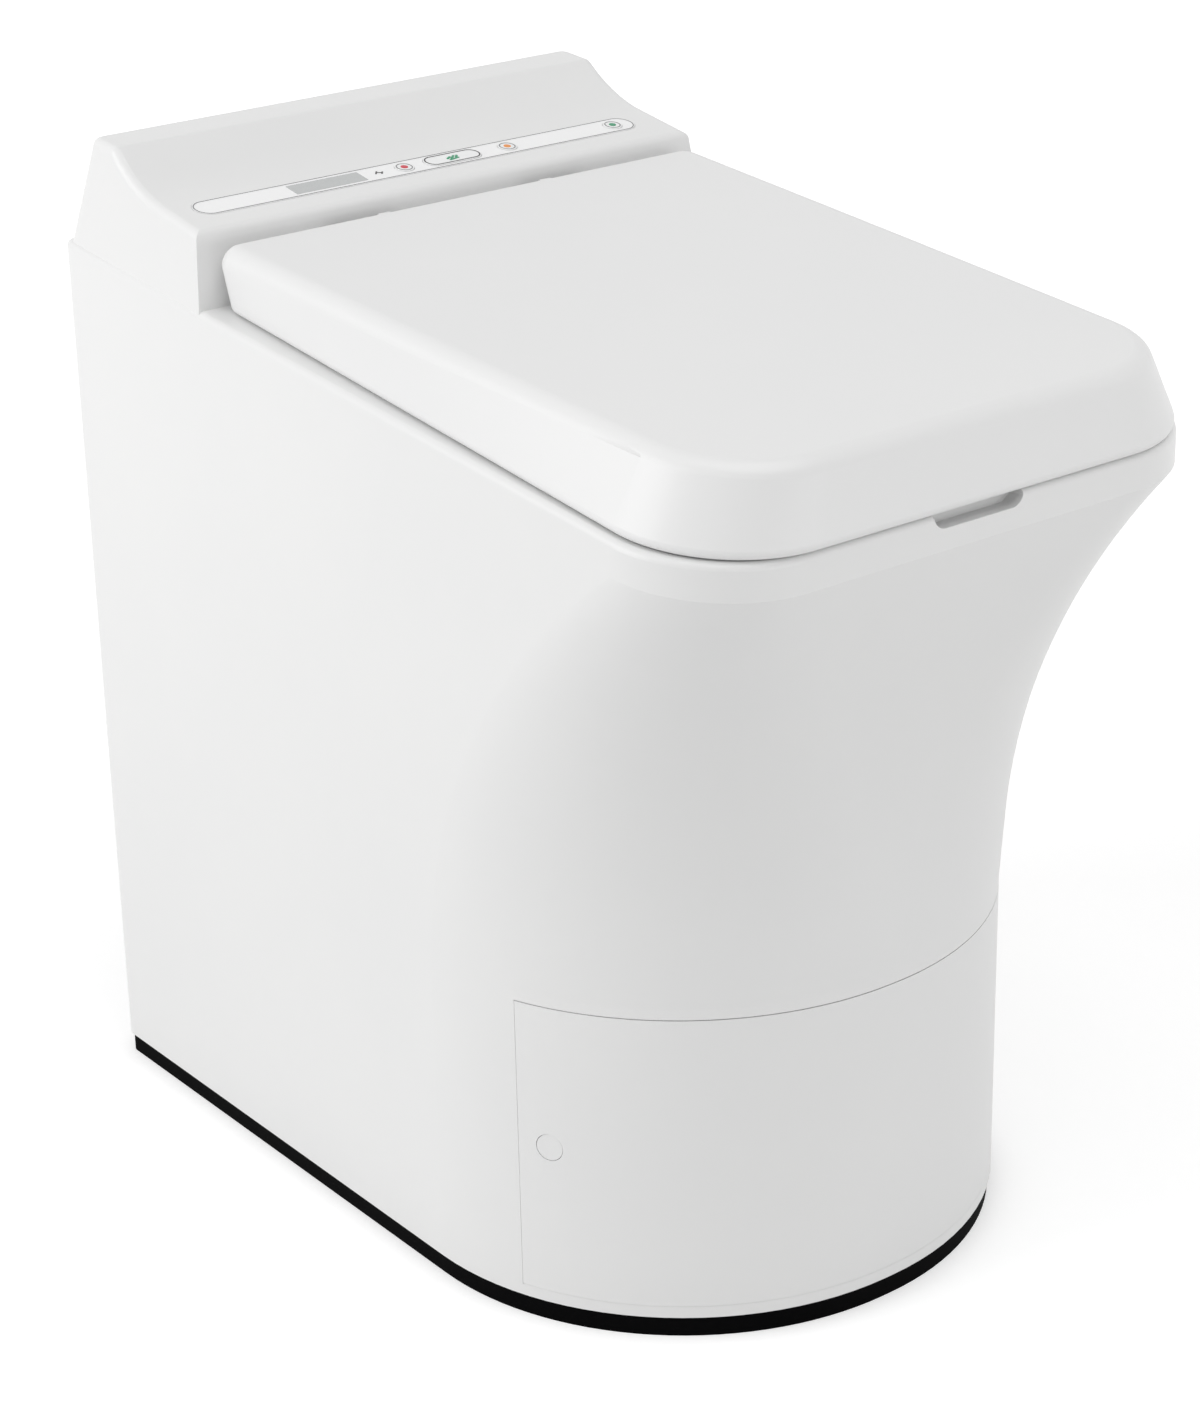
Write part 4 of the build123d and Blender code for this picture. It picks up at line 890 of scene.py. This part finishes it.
    def outlines(self) -> None:
        """Makes the lines just inside the edges of the strip and of the flush key."""
        inset = self.line
        strip = Mark(self.strip_middle, self.top, self.strip_half - inset, self.strip_radius - inset)
        self.outline(Model("strip_outline", GREY_RING, "cabinet", "strip_white"), strip, self.line)
        flush = Mark(self.flush_x, self.key_top, self.flush_half - inset, self.flush_radius - inset)
        self.outline(Model("flush_outline", DARK_PRINT, "key_flush", "key_white"), flush, self.flush_line)

    def signs(self) -> None:
        """Makes the leaves on the flush key and the bolt beside the display."""
        for index, (step, turn, half) in enumerate(self.flush_marks):
            leaf = Mark(self.flush_x + step, self.key_top, half, self.leaf_radius, turn=turn)
            self.dot(Model(f"flush_mark_{index}", GREEN_KEY, "key_flush", "key_green"), leaf)
        half, across, turn = self.flush_foot
        foot = Mark(self.flush_x, self.key_top, half, self.leaf_radius, across, turn)
        self.dot(Model("flush_mark_foot", GREEN_KEY, "key_flush", "key_green"), foot)
        for index, (step, across, turn, half) in enumerate(self.bolt):
            stroke = Mark(self.icon_x + step, self.top, half, self.bolt_radius, across, turn)
            self.dot(Model(f"bolt_mark_{index}", DARK_PRINT, "cabinet", "strip_white"), stroke)

    def build(self) -> None:
        """Makes every printed line and mark of the strip."""
        self.outlines()
        self.display_film()
        self.signs()
        for name, x, finish in self.keys:
            ring = Mark(x, self.key_top, self.ring_radius, self.ring_radius)
            self.outline(Model(f"{name}_ring", GREY_RING, f"key_{name}", "key_white"), ring, self.line)
            dot = Mark(x, self.key_top, self.dot_radius, self.dot_radius)
            self.dot(Model(f"{name}_dot", finish, f"key_{name}", f"key_{name}"), dot)


@dataclass
class BoardParts:
    """Chips, capacitors and the connector under the control board.

    Attributes:
        panel: The control panel, whose plane the board lies in.
        under: The board's underside below the console's face.
        chips: Each chip's place along the board and half its length.
        chip_half_width: Half a chip's width.
        chip_height: A chip's height.
        leg: A leg's width, reach and height.
        leg_pitch: From one leg to the next.
        cans: Each capacitor's place along the board.
        can_radius: A capacitor's radius.
        can_height: Its height.
        can_rings: Share of the height of each of its rings from the foot up, and the ring's growth.
        can_points: Points round it.
        plug_x: The connector's place along the board.
        plug_half: Half its length and width.
        plug_height: Its height.
        plug_hollow: Share of the height that is open.
    """

    panel: ControlPanel
    under: float = -0.0116
    chips: tuple[tuple[float, float], ...] = (
        (-0.115, 0.005), (-0.07, 0.009), (-0.035, 0.005), (0.1, 0.007),
    )
    chip_half_width: float = 0.0038
    chip_height: float = 0.0018
    leg: tuple[float, float, float] = (0.0007, 0.0016, 0.0009)
    leg_pitch: float = 0.0018
    cans: tuple[float, ...] = (0.116, 0.127)
    can_radius: float = 0.004
    can_height: float = 0.009
    can_rings: tuple[tuple[float, float], ...] = ((0.12, 1.0), (0.04, 7 / 8), (0.04, 8 / 7), (0.8, 1.0))
    can_points: int = 32
    plug_x: float = -0.14
    plug_half: tuple[float, float] = (0.006, 0.0035)
    plug_height: float = 0.006
    plug_hollow: float = 0.8

    def below(self, x: float) -> Matrix:
        """Returns the matrix from an upright drawing to a place along the board's underside."""
        return self.panel.plane(x, self.under) @ Matrix.Rotation(math.pi, 4, "X")

    def chip(self, index: int, x: float, half: float) -> None:
        """Makes one chip's body.

        Args:
            index: The chip's number.
            x: Its place along the board.
            half: Half its length.
        """
        model = Model(f"board_chip_{index}", CHIP, "cabinet", "board_green")
        model.plate(half, self.chip_half_width).whole().pull((0, 0, self.chip_height))
        model.cap(self.chip_height / 2).inset(self.chip_height / 4, self.chip_height / 8)
        model.finish_piece(self.below(x), bevel=self.chip_height / 8)

    def legs(self, index: int, x: float, half: float) -> None:
        """Makes a chip's two rows of legs.

        Args:
            index: The chip's number.
            x: Its place along the board.
            half: Half its length.
        """
        count = int(2 * half / self.leg_pitch)
        width, reach, height = self.leg
        model = Model(f"board_legs_{index}", SOLDER, "cabinet", "stainless").plate(width / 2, reach / 2)
        model.whole().pull((0, 0, height))
        model.faces(lambda c, n: n.y < -FACING).pull((0, -reach, -height / 2))
        first = -self.leg_pitch * (count - 1) / 2
        model.whole().move((first, -self.chip_half_width - reach / 2, 0))
        model.modify(
            "ARRAY", count=count, use_relative_offset=False, use_constant_offset=True,
            constant_offset_displace=(self.leg_pitch, 0, 0),
        )
        model.modify("MIRROR", use_axis=(False, True, False))
        model.finish_piece(self.below(x))

    def can(self, index: int, x: float) -> None:
        """Makes one round capacitor with its rolled groove.

        Args:
            index: The capacitor's number.
            x: Its place along the board.
        """
        model = Model(f"board_can_{index}", DARK_ENAMEL, "cabinet", "motor_dark")
        model.pill(self.can_radius, self.can_radius, self.can_points)
        for share, growth in self.can_rings:
            model.cap(model.peak() - LEVEL).pull((0, 0, share * self.can_height))
            if growth != 1.0:
                bpy.ops.transform.resize(value=(growth, growth, 1), center_override=(0, 0, 0))
        model.cap(model.peak() - LEVEL).inset(self.can_radius / 6).move((0, 0, -self.can_height / 30))
        model.finish_piece(self.below(x))

    def plug(self) -> None:
        """Makes the cable connector's open shell."""
        model = Model("board_connector", NYLON, "cabinet", "gear_cream").plate(*self.plug_half)
        model.whole().pull((0, 0, self.plug_height))
        model.cap(self.plug_height / 2).inset(self.plug_height / 8)
        model.pull((0, 0, -self.plug_height * self.plug_hollow))
        model.finish_piece(self.below(self.plug_x), bevel=self.plug_height / 30)

    def build(self) -> None:
        """Makes everything under the board."""
        for index, (x, half) in enumerate(self.chips):
            self.chip(index, x, half)
            self.legs(index, x, half)
        for index, x in enumerate(self.cans):
            self.can(index, x)
        self.plug()


@dataclass
class JacketStraps:
    """Steel bands with buckles that hold the ceramic jacket on the chamber.

    Attributes:
        width: A band's height.
        sheet: A band's thickness.
        margin: From the jacket's end to the band's middle.
        buckle: Half of a buckle's width and height, and how far it stands out.
        points: Points round a band.
    """

    width: float = 0.012
    sheet: float = 0.0006
    margin: float = 0.016
    buckle: tuple[float, float, float] = (0.011, 0.009, 0.0022)
    points: int = 96

    def band(self, name: str, height: float) -> None:
        """Makes one band and its buckle.

        Args:
            name: The band's name.
            height: The band's middle above the floor.
        """
        low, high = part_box("insulation_jacket")
        radius = (high[0] - low[0]) / 2
        middle = (low[1] + high[1]) / 2
        model = Model(f"{name}_band", STEEL, "cabinet", "stainless").begin(
            bpy.ops.mesh.primitive_cylinder_add, vertices=self.points, radius=radius, depth=self.width,
            end_fill_type="NOTHING", location=(0, middle, height),
        )
        model.modify("SOLIDIFY", thickness=self.sheet, offset=1.0).finish_piece()
        half_width, half_height, out = self.buckle
        model = Model(f"{name}_buckle", STEEL, "cabinet", "stainless").plate(half_width, half_height)
        model.whole().pull((0, 0, out))
        model.cap(out / 2).inset(out).move((0, 0, out / 2))
        front = middle - radius - self.sheet / 2
        place = Matrix.Translation((0, front, height)) @ Matrix.Rotation(math.pi / 2, 4, "X")
        model.finish_piece(place, bevel=out / 8)

    def build(self) -> None:
        """Makes the upper and the lower band."""
        low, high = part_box("insulation_jacket")
        self.band("lower", low[2] + self.margin)
        self.band("upper", high[2] - self.margin)


class HatchEdge(Enum):
    """An edge of the ash hatch: the axis it looks along, which way, and its side of the hatch or 0."""

    LEFT = (1, 1, -1)
    RIGHT = (1, 1, 1)
    BOTTOM = (2, -1, 0)


@dataclass
class HatchSeals:
    """Pale lips in the gaps behind and under the ash hatch, which keep its side and bottom seams faint.

    Attributes:
        clearance: The gap between a lip and the hatch.
        thickness: A lip's thickness.
        sink: How far a lip stays under the casing's face.
        seed: Size of the plane whose mesh the hatch's edge replaces.
        square: Least share of an edge face's normal along its axis.
        reach: How far an edge face's middle may lie from the hatch's end.
        weld: Points of the copy this close become one.
    """

    clearance: float = 0.0001
    thickness: float = 0.00045
    sink: float = 0.00008
    seed: float = 0.001
    square: float = 0.95
    reach: float = 0.0002
    weld: float = 1e-6

    def lip(self, edge: HatchEdge) -> None:
        """Makes one lip from a copy of the hatch's edge faces."""
        name = f"hatch_lip_{edge.name.lower()}"
        axis, sign, side = edge.value
        end = max(sign * corner[axis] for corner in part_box("ash_hatch"))
        model = Model(name, WHITE_SHELL, "cabinet", "casing_white")
        model.begin(bpy.ops.mesh.primitive_plane_add, size=self.seed)
        bpy.ops.object.mode_set(mode="OBJECT")
        model.object.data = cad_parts["ash_hatch"].data.copy()
        model.object.data.materials.clear()
        model.object.data.name = name
        bpy.ops.object.mode_set(mode="EDIT")
        bpy.ops.mesh.select_all(action="SELECT")
        bpy.ops.mesh.remove_doubles(threshold=self.weld)

        def elsewhere(centre: Vector, normal: Vector) -> bool:
            """Returns whether a face is no part of this edge."""
            near = abs(sign * centre[axis] - end) < self.reach and centre.x * side >= 0
            return not (near and normal[axis] * sign > self.square)

        model.faces(elsewhere).drop()
        step = Vector((-side * self.sink, 0.0 if side else self.sink, 0.0))
        step[axis] += sign * self.clearance
        out = Vector()
        out[axis] = sign * self.thickness
        model.whole().move(tuple(step)).pull(tuple(out))
        model.finish_piece()

    def build(self) -> None:
        """Makes the lips behind both side edges and under the hatch."""
        for edge in HatchEdge:
            self.lip(edge)


@dataclass(frozen=True)
class SoftBox:
    """A soft lamp.

    Attributes:
        name: The lamp's name.
        place: Its place.
        size: Its width and height.
        power: Its power in watts.
    """

    name: str
    place: Point
    size: tuple[float, float]
    power: float


@dataclass
class Studio:
    """Floor, lamps, backdrop and camera.

    Attributes:
        azimuth: The camera's turn from straight in front, in degrees.
        elevation: The camera's height angle, in degrees.
        roll: The camera's roll, in degrees.
        place: The camera's place, in metres.
        lens: The camera's focal length, in millimetres.
        sensor: The camera's sensor, in millimetres.
        sight: How far the camera sees, in metres.
        ambient: The world's light on the object.
        boxes: The lamps.
        aim: Where the lamps point.
        floor_half: Half the floor's width.
        floor_tone: The floor's grey.
        floor_glow: Two distances from the origin, and the floor's own brightness for the camera at each.
    """

    azimuth: float = -37.284
    elevation: float = 22.950
    roll: float = -1.2115
    place: Point = (-1.15503, -1.52587, 1.09221)
    lens: float = 88.716
    sensor: float = 36.0
    sight: float = 60.0
    ambient: float = 0.5
    boxes: tuple[SoftBox, ...] = (
        SoftBox("side_box", (-2.7, 1.1, 1.5), (2.2, 2.0), 42.0),
        SoftBox("top_box", (0.1, -0.9, 2.9), (2.2, 2.2), 22.0),
        SoftBox("front_box", (0.6, -3.0, 0.35), (2.4, 0.8), 13.5),
    )
    aim: Point = (0.0, 0.0, 0.3)
    floor_half: float = 9.0
    floor_tone: float = 0.8
    floor_glow: tuple[float, float, float, float] = (0.6, 1.8, 0.42, 0.8)

    @staticmethod
    def turned(place: Point, look: Vector) -> Matrix:
        """Returns the matrix of a camera or lamp at a place that looks along a direction."""
        return Matrix.Translation(place) @ look.to_track_quat("-Z", "Y").to_matrix().to_4x4()

    def camera(self) -> None:
        """Sets the camera at the photograph's angle."""
        turn, rise = math.radians(self.azimuth), math.radians(self.elevation)
        look = Vector((-math.sin(turn) * math.cos(rise), math.cos(turn) * math.cos(rise), -math.sin(rise)))
        data = bpy.data.cameras.new("camera")
        data.lens = self.lens
        data.sensor_width = self.sensor
        data.sensor_fit = "AUTO"
        data.clip_end = self.sight
        camera = bpy.data.objects.new("camera", data)
        spin = Matrix.Rotation(math.radians(self.roll), 4, "Z")
        camera.matrix_world = self.turned(self.place, look) @ spin
        bpy.context.scene.collection.objects.link(camera)
        bpy.context.scene.camera = camera

    def lamp(self, box: SoftBox) -> None:
        """Adds a soft box that points at the object."""
        data = bpy.data.lights.new(box.name, "AREA")
        data.shape = "RECTANGLE"
        data.size, data.size_y = box.size
        data.energy = box.power
        lamp = bpy.data.objects.new(box.name, data)
        lamp.matrix_world = self.turned(box.place, Vector(self.aim) - Vector(box.place))
        bpy.context.scene.collection.objects.link(lamp)

    @staticmethod
    def by_ray(graph: Graph, dim: Node, bright: Node) -> Socket:
        """Shows one shader to the rays that see the background, and another to the rest.

        Args:
            graph: The material's or world's graph.
            dim: The shader that lights the object.
            bright: The shader that camera, mirror and glass rays see.

        Returns:
            The mixed shader's socket.
        """
        path = graph.add("ShaderNodeLightPath").outputs
        seen = path["Is Camera Ray"]
        for ray in ("Is Glossy Ray", "Is Transmission Ray"):
            seen = graph.compute("MAXIMUM", seen, path[ray])
        return graph.join(graph.add("ShaderNodeMixShader"), seen, dim.outputs[0], bright.outputs[0])

    def world(self) -> None:
        """Sets an even world that shows white behind the object."""
        world = bpy.data.worlds.new("studio")
        bpy.context.scene.world = world
        world.use_nodes = True
        graph = Graph(world.node_tree)
        graph.tree.nodes.clear()
        dim = graph.add("ShaderNodeBackground", None, Color=WHITE, Strength=self.ambient)
        bright = graph.add("ShaderNodeBackground", None, Color=WHITE, Strength=1.0)
        graph.add("ShaderNodeOutputWorld", None, Surface=self.by_ray(graph, dim, bright))

    def floor(self) -> None:
        """Lays a pale floor that keeps the object's shadow."""
        deselect()
        bpy.ops.mesh.primitive_plane_add(size=2 * self.floor_half, location=(0, 0, 0))
        floor = bpy.context.object
        floor.name = "floor"
        material = bpy.data.materials.new("floor_white")
        material.use_nodes = True
        graph = Graph(material.node_tree)
        graph.tree.nodes.clear()
        near, far, low, high = self.floor_glow
        distance = graph.add("ShaderNodeVectorMath", {"operation": "LENGTH"})
        graph.join(distance, graph.add("ShaderNodeTexCoord").outputs["Object"])
        strength = graph.span(distance.outputs["Value"], low, high, near, far)
        base = graph.add("ShaderNodeBsdfDiffuse", None, Color=(*[self.floor_tone] * 3, 1.0))
        glow = graph.add("ShaderNodeEmission", None, Color=WHITE, Strength=strength)
        dark = graph.add("ShaderNodeEmission", None, Color=BLACK, Strength=0.0)
        both = graph.add("ShaderNodeAddShader")
        sum_of_both = graph.join(both, base.outputs[0], self.by_ray(graph, dark, glow))
        graph.add("ShaderNodeOutputMaterial", None, Surface=sum_of_both)
        floor.data.materials.append(material)

    def build(self) -> None:
        """Sets up the whole studio."""
        bpy.context.scene.view_settings.view_transform = "Standard"
        self.camera()
        self.world()
        self.floor()
        for box in self.boxes:
            self.lamp(box)


def main() -> None:
    """Builds the scene's classes in order."""
    logging.basicConfig(level=logging.INFO, format="%(message)s")
    Studio().build()
    dress_nodes()
    panel = ControlPanel()
    panel.build()
    BoardParts(panel).build()
    JacketStraps().build()
    HatchSeals().build()


if __name__ == "__main__":
    main()
